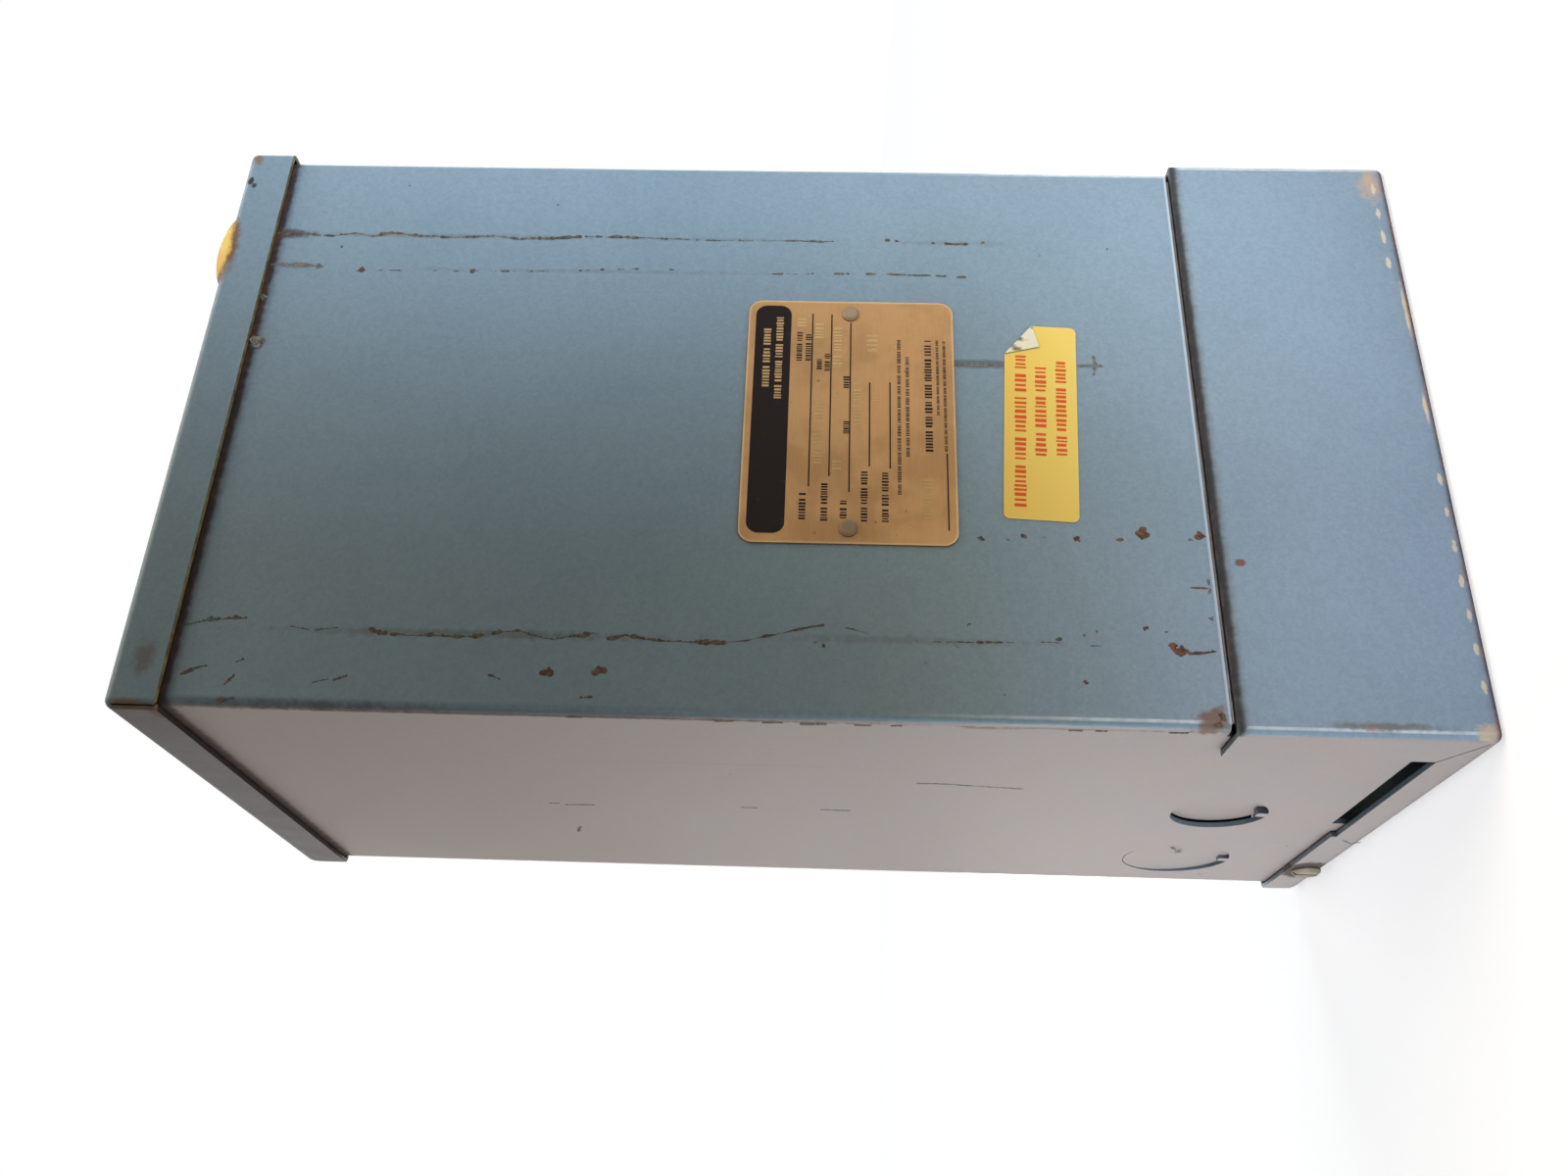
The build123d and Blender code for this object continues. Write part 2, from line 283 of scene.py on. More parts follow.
class ShaderKit:
    """The shader groups that several finishes share."""

    # A noise's mean, and the detail and roughness of the noise that breaks a mask up.
    MEAN = 0.5
    BROKEN = (4.0, 0.6)
    SAMPLES = 4
    EDGE_TURN = (0.02, 0.16)
    EDGE_SOFTNESS = 0.12
    CLOSED = (0.12, 0.6)
    WOBBLE_SCALE = 700.0
    WOBBLE = 0.0012
    SMALLEST_SPECK = 0.35
    SPECK_CORE = 0.6
    DASH_RAGGED = 4.2
    DASH_RIM = (1.2, 0.4)

    def __init__(self) -> None:
        """Build each group once."""
        self.patch = self._patch()
        self.edge = self._edge()
        self.grime = self._grime()
        self.grain = self._grain()
        self.specks = self._specks()
        self.dashes = self._dashes()

    def _patch(self) -> bpy.types.NodeTree:
        """Build the soft patch: a mask round one place, with a ragged rim.

        Returns:
            The group's tree.
        """
        g = GroupTree(
            "Soft Patch",
            {
                "Place": ("vector", None),
                "Centre": ("vector", None),
                "Half Size": ("vector", (0.01, 0.01, 0.01)),
                "Core": ("value", 0.45),
                "Ragged": ("value", 0.5),
                "Noise": ("value", self.MEAN),
            },
            {"Mask": "value"},
        )
        away = g.vector("SUBTRACT", g.given["Place"], g.given["Centre"])
        away = g.vector("DIVIDE", away, g.given["Half Size"])
        shift = g.times(g.math("SUBTRACT", g.given["Noise"], self.MEAN), g.given["Ragged"])
        distance = g.math("ADD", g.vector("LENGTH", away), g.times(shift, 2.0))
        g.feed(g.result["Mask"], g.ramp(distance, 1.0, g.given["Core"]))
        return g.tree

    def _edge(self) -> bpy.types.NodeTree:
        """Build edge wear: a mask along convex edges, broken up by noise.

        Returns:
            The group's tree.
        """
        g = GroupTree(
            "Edge Wear",
            {
                "Radius": ("value", 0.001),
                "Break Up": ("value", 90.0),
                "Amount": ("value", 0.5),
            },
            {"Mask": "value"},
        )
        bevel = g.node("ShaderNodeBevel", {"Radius": g.given["Radius"]}, samples=self.SAMPLES)
        normal = g.node("ShaderNodeNewGeometry").outputs["Normal"]
        turned = g.math("SUBTRACT", 1.0, g.vector("DOT_PRODUCT", bevel.outputs[0], normal))
        edge = g.ramp(turned, *self.EDGE_TURN)
        noise = g.noise(g.place(), g.given["Break Up"], *self.BROKEN)
        gate = g.math("SUBTRACT", 1.0, g.given["Amount"])
        broken = g.ramp(noise, gate, g.math("ADD", gate, self.EDGE_SOFTNESS))
        g.feed(g.result["Mask"], g.times(edge, broken))
        return g.tree

    def _grime(self) -> bpy.types.NodeTree:
        """Build the seam mask for grime and painted shade: a mask where other surfaces stand close.

        Returns:
            The group's tree.
        """
        g = GroupTree(
            "Seam Grime",
            {
                "Reach": ("value", 0.004),
                "Break Up": ("value", 120.0),
                "Amount": ("value", 0.8),
            },
            {"Mask": "value"},
        )
        reach = {"Distance": g.given["Reach"]}
        around = g.node("ShaderNodeAmbientOcclusion", reach, samples=self.SAMPLES)
        closed = g.math("SUBTRACT", 1.0, around.outputs["AO"])
        noise = g.noise(g.place(), g.given["Break Up"], *self.BROKEN)
        closed = g.times(closed, g.math("ADD", noise, self.MEAN))
        g.feed(g.result["Mask"], g.times(g.ramp(closed, *self.CLOSED), g.given["Amount"]))
        return g.tree

    def _grain(self) -> bpy.types.NodeTree:
        """Build grain: cloudy tone, fine tone and the bumped normal of a sprayed skin.

        Returns:
            The group's tree.
        """
        g = GroupTree(
            "Skin Grain",
            {
                "Fine": ("value", 900.0),
                "Cloud": ("value", 14.0),
                "Depth": ("value", 0.00002),
            },
            {"Cloud": "value", "Fine": "value", "Normal": "vector"},
        )
        place = g.place()
        fine = g.noise(place, g.given["Fine"], detail=2.0, rough=0.5)
        bump = g.node("ShaderNodeBump", {"Height": fine, "Distance": g.given["Depth"]})
        g.feed(g.result["Cloud"], g.noise(place, g.given["Cloud"], *self.BROKEN))
        g.feed(g.result["Fine"], fine)
        g.feed(g.result["Normal"], bump.outputs[0])
        return g.tree

    def _specks(self) -> bpy.types.NodeTree:
        """Build specks: a few small spots of uneven size, spread at random.

        Returns:
            The group's tree.
        """
        g = GroupTree(
            "Specks",
            {
                "Spread": ("value", 60.0),
                "Share": ("value", 0.1),
                "Size": ("value", 0.12),
            },
            {"Mask": "value"},
        )
        place = g.place()
        wobble = g.noise(place, self.WOBBLE_SCALE, detail=2.0, rough=0.5, coloured=True)
        bent = g.vector("ADD", place, g.vector("SCALE", wobble, self.WOBBLE))
        cells = g.node("ShaderNodeTexVoronoi", {"Vector": bent, "Scale": g.given["Spread"]})
        chance, growth, _ = g.split(cells.outputs["Color"])
        chosen = g.math("LESS_THAN", chance, g.given["Share"])
        reach = g.times(g.given["Size"], g.math("ADD", growth, self.SMALLEST_SPECK))
        spot = g.ramp(cells.outputs["Distance"], reach, g.times(reach, self.SPECK_CORE))
        g.feed(g.result["Mask"], g.times(spot, chosen))
        return g.tree

    def _dashes(self) -> bpy.types.NodeTree:
        """Build a row of dashes along X at one height.

        Returns:
            The group's tree.
        """
        g = GroupTree(
            "Dash Row",
            {
                "Place": ("vector", None),
                "Start": ("value", 0.0),
                "Pitch": ("value", 0.01),
                "Count": ("value", 3.0),
                "Height": ("value", 0.0),
                "Half Length": ("value", 0.002),
                "Half Width": ("value", 0.001),
                "Noise": ("value", self.MEAN),
            },
            {"Mask": "value"},
        )
        x, _, z = g.split(g.given["Place"])
        steps = g.math("DIVIDE", g.math("SUBTRACT", x, g.given["Start"]), g.given["Pitch"])
        last = g.math("SUBTRACT", g.given["Count"], 1.0)
        whole = g.math("MAXIMUM", g.math("MINIMUM", g.math("ROUND", steps), last), 0.0)
        off = g.times(g.math("SUBTRACT", steps, whole), g.given["Pitch"])
        along = g.math("DIVIDE", off, g.given["Half Length"])
        over = g.math("DIVIDE", g.math("SUBTRACT", z, g.given["Height"]), g.given["Half Width"])
        squares = g.math("ADD", g.times(along, along), g.times(over, over))
        ragged = g.times(g.math("SUBTRACT", g.given["Noise"], self.MEAN), self.DASH_RAGGED)
        g.feed(g.result["Mask"], g.ramp(g.math("ADD", squares, ragged), *self.DASH_RIM))
        return g.tree


# Finishes


@dataclass(frozen=True)
class Patch:
    """A stain, worn place, painted shade or painted highlight on a finish, in millimetres."""

    centre: Point
    half: Point
    colour: Colour
    strength: float = 1.0
    core: float = 0.35
    ragged: float = 0.5
    rough: float = 0.7


@dataclass(frozen=True)
class DashRow:
    """A row of worn dashes along X on a finish, in millimetres."""

    start: float
    pitch: float
    count: int
    height: float
    half_length: float
    half_width: float
    colour: Colour


def new_material(name: str) -> tuple[bpy.types.Material, Graph, bpy.types.Node]:
    """Make an empty node material.

    Args:
        name: The material's name.

    Returns:
        The material, its graph and its Principled node.
    """
    material = bpy.data.materials.new(name)
    material.use_nodes = True
    shader = material.node_tree.nodes["Principled BSDF"]
    return material, Graph(material.node_tree), shader


class Coat:
    """A finish in the making: its grain, and its colour and roughness so far."""

    def __init__(self, name: str, kit: ShaderKit, grain: Point, rough: float = 0.5) -> None:
        """Start a material with its grain.

        Args:
            name: The material's name.
            kit: The shared shader groups.
            grain: The grain's fine scale, its cloud scale and its depth in metres.
            rough: The roughness to begin with.
        """
        self.material, self.graph, self.shader = new_material(name)
        self.kit = kit
        fine, cloud, depth = grain
        self.grain = self.graph.use(kit.grain, Fine=fine, Cloud=cloud, Depth=depth).outputs
        self.colour: object = WHITE
        self.rough: object = rough

    def tone(self, output: str, start: float, end: float) -> object:
        """Turn the grain's Cloud or Fine value into a share from 0 to 1."""
        return self.graph.ramp(self.grain[output], start, end)

    def layer(
        self, mask: object, colour: object, cover: float = 1.0, rough: float | None = None
    ) -> None:
        """Lay a colour over the coat.

        Args:
            mask: Where it lies.
            colour: The colour, or its socket.
            cover: How much it hides where the mask is full.
            rough: Its own roughness, where it has one.
        """
        share = mask if cover == 1.0 else self.graph.times(mask, cover)
        self.colour = self.graph.mix(share, self.colour, colour)
        if rough is not None:
            self.rough = self.graph.blend(share, self.rough, rough)

    def specks(
        self, colour: Colour, spread: float, share: float, size: float, cover: float = 1.0
    ) -> None:
        """Strew specks over the coat.

        Args:
            colour: Their colour.
            spread: How dense the places are that may have one.
            share: How many of these places have one.
            size: Their size against the distance between places.
            cover: How much they hide.
        """
        found = self.graph.use(self.kit.specks, Spread=spread, Share=share, Size=size)
        self.layer(found.outputs["Mask"], colour, cover)

    def edges(
        self, colour: Colour, radius: float, break_up: float, amount: float, cover: float
    ) -> None:
        """Wear the coat along its edges.

        Args:
            colour: What shows there.
            radius: How wide the wear is, in metres.
            break_up: The scale of the noise that breaks it up.
            amount: How much of the edges it takes.
            cover: How much it hides.
        """
        found = self.graph.use(self.kit.edge, Radius=radius, Break_Up=break_up, Amount=amount)
        self.layer(found.outputs["Mask"], colour, cover)

    def seams(self, reach: float, break_up: float, amount: float) -> object:
        """Find where other surfaces stand close, for dirt and painted shade.

        Args:
            reach: How far from the next surface, in metres.
            break_up: The scale of the noise that breaks it up.
            amount: How full the mask is.

        Returns:
            The mask's socket.
        """
        found = self.graph.use(self.kit.grime, Reach=reach, Break_Up=break_up, Amount=amount)
        return found.outputs["Mask"]

    def finish(self, specular: float = 0.5, metallic: float = 0.0) -> bpy.types.Material:
        """Feed the shader.

        Args:
            specular: Its specular level.
            metallic: How much of it is metal.

        Returns:
            The finished material.
        """
        values = {
            "Base Color": self.colour,
            "Roughness": self.rough,
            "Normal": self.grain["Normal"],
            "Specular IOR Level": specular,
            "Metallic": metallic,
        }
        for name, value in values.items():
            self.graph.feed(self.shader.inputs[name], value)
        return self.material


@dataclass(frozen=True)
class Surface:
    """What the enamel reads of the surface: its place, where it faces and a ragged noise."""

    place: object
    facing: tuple[object, object, object]
    ragged: object


@dataclass(frozen=True)
class Enamel:
    """Worn semi-gloss enamel on sheet steel."""

    name: str
    base: Colour = linear(129, 152, 168)
    deep: Colour = linear(124, 147, 163)
    # The side film's colour: dust, and a painted sheen standing in for reflected warm light.
    dust_and_painted_light: Colour = linear(174, 148, 136)
    edge: Colour = linear(156, 152, 118)
    # Dark colour of the specks, and of the seams, where it is dirt and painted shade.
    grime: Colour = linear(52, 40, 38)
    rust: Colour = linear(112, 66, 40)
    cut: Colour = linear(168, 164, 118)
    cut_level: float = -1.0
    specular: float = 0.3
    dust_and_painted_light_near: float = 0.75
    dust_and_painted_light_far: float = 0.25
    edge_amount: float = 0.42
    edge_radius: float = 0.0005
    speck_share: float = 0.03
    # A painted highlight along the front's bends: its colour, its share and the heights where it
    # fades out.
    highlight_colour: Colour = linear(214, 224, 230)
    rub: float = 0.0
    highlight_levels: Range = (9000.0, 8000.0)  # far above the box, so that all of it counts
    grime_and_shade_share: float = 0.9
    clean: Patch | None = None
    patches: tuple[Patch, ...] = ()
    rows: tuple[DashRow, ...] = ()

    # Pairs say where a mask starts and where it is full, or between what a value runs.
    GRAIN = (1100.0, 13.0, 0.00003)
    CLOUDY = (0.35, 0.65)
    FINE_LIGHT = linear(170, 182, 188)
    FINE = (0.25, 0.75)
    MOTTLE_DARK = linear(98, 116, 126)
    MOTTLE_SCALE = 620.0
    MOTTLE = (0.38, 0.66)
    TONE_COVER = 0.16
    SHEEN_CLOUD = (0.3, 0.7)
    SHEEN = (0.36, 0.44)
    SIDE_TURN = (0.8, 0.985)
    SIDES = (-0.5, 0.5)
    DUST_AND_LIGHT_SCALE = 60.0
    DUST_AND_LIGHT = (0.3, 0.7)
    DUST_AND_LIGHT_SHARE = (0.86, 1.0)
    DUST_AND_LIGHT_ROUGH = 0.5
    RAGGED_SCALE = 330.0
    BEND_OUTER = (0.998, 0.985)
    BEND_INNER = (0.87, 0.93)
    BEND_LEVEL = (0.12, 0.05)
    HIGHLIGHT_RAGGED = (0.35, 0.6)
    HIGHLIGHT_SHARE = (0.6, 1.0)
    HIGHLIGHT_ROUGH = 0.28
    ROWS_DEPTH = (0.0, -0.06)
    RUST_PLACES = (0.45, 0.62)
    DIRT_AND_SHADE_ROUGH = 0.75
    CUT_DARK = linear(120, 104, 66)
    CUT_SIDE = linear(46, 38, 38)
    CUT_PLACES = (0.3, 0.7)
    CUT_HEIGHT = (0.0006, 0.0002)
    CUT_TURN = (-0.5, -0.9)
    CUT_DEPTH = (-0.077, -0.0785)
    CUT_COVER = 0.92

    def build(self, kit: ShaderKit) -> bpy.types.Material:
        """Make the material.

        Args:
            kit: The shared shader groups.

        Returns:
            The material.
        """
        coat = Coat(self.name, kit, self.GRAIN)
        g = coat.graph
        place = g.place()
        facing = g.split(g.node("ShaderNodeNewGeometry").outputs["Normal"])
        at = Surface(place, facing, g.noise(place, self.RAGGED_SCALE, detail=4.0, rough=0.65))
        self._paint(coat, at)
        self._dust_and_painted_light(coat, at)
        if self.rub > 0:
            self._rub(coat, at)
        self._lay_patches(coat, at)
        coat.specks(self.grime, spread=55.0, share=self.speck_share, size=0.07)
        coat.edges(self.edge, self.edge_radius, break_up=130.0, amount=self.edge_amount, cover=0.8)
        self._dirt_and_shade(coat, at)
        if self.cut_level > 0:
            self._cut(coat, at)
        return coat.finish(self.specular)

    def _paint(self, coat: Coat, at: Surface) -> None:
        """Mix the paint's own cloudy, fine and mottled tones.

        Args:
            coat: The coat so far.
            at: The surface.
        """
        g = coat.graph
        coat.colour = g.mix(coat.tone("Cloud", *self.CLOUDY), self.deep, self.base)
        coat.layer(coat.tone("Fine", *self.FINE), self.FINE_LIGHT, self.TONE_COVER)
        mottle = g.ramp(g.noise(at.place, self.MOTTLE_SCALE, detail=2.0, rough=0.7), *self.MOTTLE)
        coat.layer(mottle, self.MOTTLE_DARK, self.TONE_COVER)
        coat.rough = g.blend(coat.tone("Cloud", *self.SHEEN_CLOUD), *self.SHEEN)

    def _dust_and_painted_light(self, coat: Coat, at: Surface) -> None:
        """Lay a pale warm film over the side walls, with more of it on the -X side: partly dust,
        partly a painted sheen standing in for warm light reflected at a grazing view.

        Args:
            coat: The coat so far.
            at: The surface.
        """
        g = coat.graph
        sideways = at.facing[0]
        dust_and_light = g.ramp(g.math("ABSOLUTE", sideways), *self.SIDE_TURN)
        uneven = g.ramp(g.noise(at.place, self.DUST_AND_LIGHT_SCALE, detail=5.0, rough=0.65), *self.DUST_AND_LIGHT)
        dust_and_light = g.times(dust_and_light, g.blend(uneven, *self.DUST_AND_LIGHT_SHARE))
        share = g.blend(g.ramp(sideways, *self.SIDES), self.dust_and_painted_light_near, self.dust_and_painted_light_far)
        coat.layer(g.times(dust_and_light, share), self.dust_and_painted_light, rough=self.DUST_AND_LIGHT_ROUGH)

    def _rub(self, coat: Coat, at: Surface) -> None:
        """Paint a light, smooth line along the front's bends as a painted highlight, full below the
        lower height given and gone above the upper.

        Args:
            coat: The coat so far.
            at: The surface.
        """
        g = coat.graph
        ahead = g.times(at.facing[1], -1.0)
        start, full = self.highlight_levels
        rub = g.times(g.ramp(ahead, *self.BEND_OUTER), g.ramp(ahead, *self.BEND_INNER))
        rub = g.times(rub, g.blend(g.ramp(at.ragged, *self.HIGHLIGHT_RAGGED), *self.HIGHLIGHT_SHARE))
        rub = g.times(rub, g.ramp(g.math("ABSOLUTE", at.facing[2]), *self.BEND_LEVEL))
        rub = g.times(rub, g.ramp(g.split(at.place)[2], start * MM, full * MM))
        coat.layer(rub, self.highlight_colour, self.rub)
        coat.rough = g.blend(rub, coat.rough, self.HIGHLIGHT_ROUGH)

    @staticmethod
    def _where(patch: Patch, coat: Coat, at: Surface) -> object:
        """Find where a patch lies.

        Args:
            patch: The patch.
            coat: The coat so far.
            at: The surface.

        Returns:
            The mask's socket.
        """
        return coat.graph.use(
            coat.kit.patch,
            Place=at.place,
            Centre=metres(patch.centre),
            Half_Size=metres(patch.half),
            Core=patch.core,
            Ragged=patch.ragged,
            Noise=at.ragged,
        ).outputs["Mask"]

    def _lay_patches(self, coat: Coat, at: Surface) -> None:
        """Put on the stained and worn places, the painted shade and highlights, and the rows of
        dashes in front.

        Args:
            coat: The coat so far.
            at: The surface.
        """
        g = coat.graph
        for patch in self.patches:
            coat.layer(self._where(patch, coat, at), patch.colour, patch.strength, patch.rough)
        for row in self.rows:
            mask = g.use(
                coat.kit.dashes,
                Place=at.place,
                Start=row.start * MM,
                Pitch=row.pitch * MM,
                Count=float(row.count),
                Height=row.height * MM,
                Half_Length=row.half_length * MM,
                Half_Width=row.half_width * MM,
                Noise=at.ragged,
            ).outputs["Mask"]
            ahead = g.ramp(g.split(at.place)[1], *self.ROWS_DEPTH)
            coat.layer(g.times(mask, ahead), row.colour)

    def _dirt_and_shade(self, coat: Coat, at: Surface) -> None:
        """Darken the seams with dirt, rust and painted shade where other surfaces stand close, but
        not in the clean place.

        Args:
            coat: The coat so far.
            at: The surface.
        """
        g = coat.graph
        seams = coat.seams(reach=0.0045, break_up=160.0, amount=self.grime_and_shade_share)
        if self.clean:
            kept = self._where(self.clean, coat, at)
            seams = g.times(seams, g.math("SUBTRACT", 1.0, kept))
        tint = g.mix(g.ramp(at.ragged, *self.RUST_PLACES), self.grime, self.rust)
        coat.layer(seams, tint, rough=self.DIRT_AND_SHADE_ROUGH)

    def _cut(self, coat: Coat, at: Surface) -> None:
        """Show the sheet's cut edge: bare in front, dark on the sides.

        Args:
            coat: The coat so far.
            at: The surface.
        """
        g = coat.graph
        _, y, z = g.split(at.place)
        off = g.math("ABSOLUTE", g.math("SUBTRACT", z, self.cut_level * MM))
        cut = g.times(g.ramp(off, *self.CUT_HEIGHT), g.ramp(at.facing[2], *self.CUT_TURN))
        bare = g.mix(g.ramp(at.ragged, *self.CUT_PLACES), self.cut, self.CUT_DARK)
        bare = g.mix(g.ramp(y, *self.CUT_DEPTH), self.CUT_SIDE, bare)
        coat.layer(cut, bare, self.CUT_COVER)


@dataclass(frozen=True)
class Metal:
    """Bare or plated metal with dull patches."""

    name: str
    base: Colour
    dull: Colour
    dirt_and_shade: Colour
    rough: float = 0.35
    metallic: float = 0.4
    brushed: bool = False
    edge: Colour = linear(225, 205, 160)
    edge_radius: float = 0.0004

    GRAIN = (1500.0, 70.0, 0.00002)
    DULL = (0.4, 0.65)
    DULL_COVER = 0.75
    DULL_ROUGHER = 0.18
    STRETCH = (1.0, 1.0, 30.0)
    LINE_SCALE = 90.0
    LINES = (0.4, 0.7)
    LINE_COVER = 0.05

    def build(self, kit: ShaderKit) -> bpy.types.Material:
        """Make the material.

        Args:
            kit: The shared shader groups.

        Returns:
            The material.
        """
        coat = Coat(self.name, kit, self.GRAIN)
        g = coat.graph
        coat.colour = self.base
        dull = coat.tone("Cloud", *self.DULL)
        coat.layer(dull, self.dull, self.DULL_COVER)
        coat.rough = g.blend(dull, self.rough, self.rough + self.DULL_ROUGHER)
        if self.brushed:
            stretched = g.vector("MULTIPLY", g.place(), self.STRETCH)
            lines = g.ramp(g.noise(stretched, self.LINE_SCALE, detail=4.0, rough=0.7), *self.LINES)
            coat.layer(lines, self.edge, self.LINE_COVER)
            coat.specks(self.edge, spread=420.0, share=0.22, size=0.16, cover=0.3)
        coat.edges(self.edge, self.edge_radius, break_up=200.0, amount=0.75, cover=0.7)
        # Darker where other surfaces stand close: dirt and painted shade round heads and edges.
        coat.layer(coat.seams(reach=0.0015, break_up=260.0, amount=0.9), self.dirt_and_shade)
        coat.specks(self.dirt_and_shade, spread=260.0, share=0.12, size=0.12, cover=0.6)
        return coat.finish(metallic=self.metallic)


@dataclass(frozen=True)
class Paper:
    """Coated label paper, cream on its back, which shows where the corner is folded over."""

    name: str
    face: Colour = linear(238, 208, 102)
    warm: Colour = linear(240, 202, 96)
    warm_levels: Range = (100.0, 122.0)
    worn: Colour = linear(236, 214, 130)
    back: Colour = linear(232, 226, 200)
    crease: Colour = linear(120, 105, 80)
    rim: Colour = linear(30, 24, 20)
    fold_depth: float = -78.42

    GRAIN = (1700.0, 60.0, 0.00003)
    WORN = (0.5, 0.72)
    WORN_COVER = 0.3
    WRINKLE_STRETCH = (1.0, 1.0, 0.4)
    WRINKLE_SCALE = 420.0
    WRINKLES = (0.56, 0.7)
    SPECULAR = 0.3

    def build(self, kit: ShaderKit) -> bpy.types.Material:
        """Make the material.

        Args:
            kit: The shared shader groups.

        Returns:
            The material.
        """
        coat = Coat(self.name, kit, self.GRAIN)
        g = coat.graph
        place = g.place()
        _, y, z = g.split(place)
        low, high = self.warm_levels
        coat.colour = g.mix(g.ramp(z, low * MM, high * MM), self.face, self.warm)
        coat.layer(coat.tone("Cloud", *self.WORN), self.worn, self.WORN_COVER)
        coat.edges(self.worn, radius=0.0012, break_up=240.0, amount=0.7, cover=0.6)
        stretched = g.vector("MULTIPLY", place, self.WRINKLE_STRETCH)
        wrinkles = g.noise(stretched, self.WRINKLE_SCALE, detail=2.0, rough=0.5)
        lifted = g.math("LESS_THAN", y, self.fold_depth * MM)
        coat.layer(lifted, g.mix(g.ramp(wrinkles, *self.WRINKLES), self.back, self.crease))
        coat.specks(self.crease, spread=330.0, share=0.06, size=0.1, cover=0.7)
        # The rim: darker where other surfaces stand close, dirt and painted shade.
        coat.layer(coat.seams(reach=0.0008, break_up=300.0, amount=0.85), self.rim)
        return coat.finish(self.SPECULAR)


@dataclass(frozen=True)
class Crust:
    """Rough matter such as rust, potting or dried dirt, mottled between three colours."""

    name: str
    light: Colour
    other: Colour
    dark: Colour
    rough: float = 0.85
    scale: float = 900.0
    depth: float = 0.00008

    CLOUD_SHARE = 0.3
    SHADE_SCALE = 85.0
    SHADE = (0.42, 0.58)
    DARK = (0.85, 1.15)

    def build(self, kit: ShaderKit) -> bpy.types.Material:
        """Make the material.

        Args:
            kit: The shared shader groups.

        Returns:
            The material.
        """
        grain = (self.scale, self.scale * self.CLOUD_SHARE, self.depth)
        coat = Coat(self.name, kit, grain, self.rough)
        g = coat.graph
        shade = g.ramp(g.noise(g.place(), self.SHADE_SCALE, detail=2.0, rough=0.5), *self.SHADE)
        light = g.mix(shade, self.light, self.other)
        tone = g.math("ADD", coat.grain["Cloud"], coat.grain["Fine"])
        coat.colour = g.mix(g.ramp(tone, *self.DARK), self.dark, light)
        return coat.finish()


@dataclass(frozen=True)
class Ink:
    """A thin printed layer, a little worn."""

    name: str
    colour: Colour
    worn: Colour
    rough: float = 0.5

    GRAIN = (1500.0, 240.0, 0.00001)
    WORN = (0.6, 0.75)
    COVER = 0.4
    SPECULAR = 0.12

    def build(self, kit: ShaderKit) -> bpy.types.Material:
        """Make the material.

        Args:
            kit: The shared shader groups.

        Returns:
            The material.
        """
        coat = Coat(self.name, kit, self.GRAIN, self.rough)
        coat.colour = self.colour
        coat.layer(coat.tone("Cloud", *self.WORN), self.worn, self.COVER)
        coat.specks(self.worn, spread=300.0, share=0.12, size=0.08, cover=self.COVER)
        return coat.finish(self.SPECULAR)


# Places of wear, painted shade and painted highlights

RUST_BROWN = linear(112, 68, 42)
RUST_DARK = linear(58, 34, 26)
SOOT = linear(48, 50, 50)
CREAM = linear(226, 208, 172)
WORN_PAINT = linear(206, 198, 176)

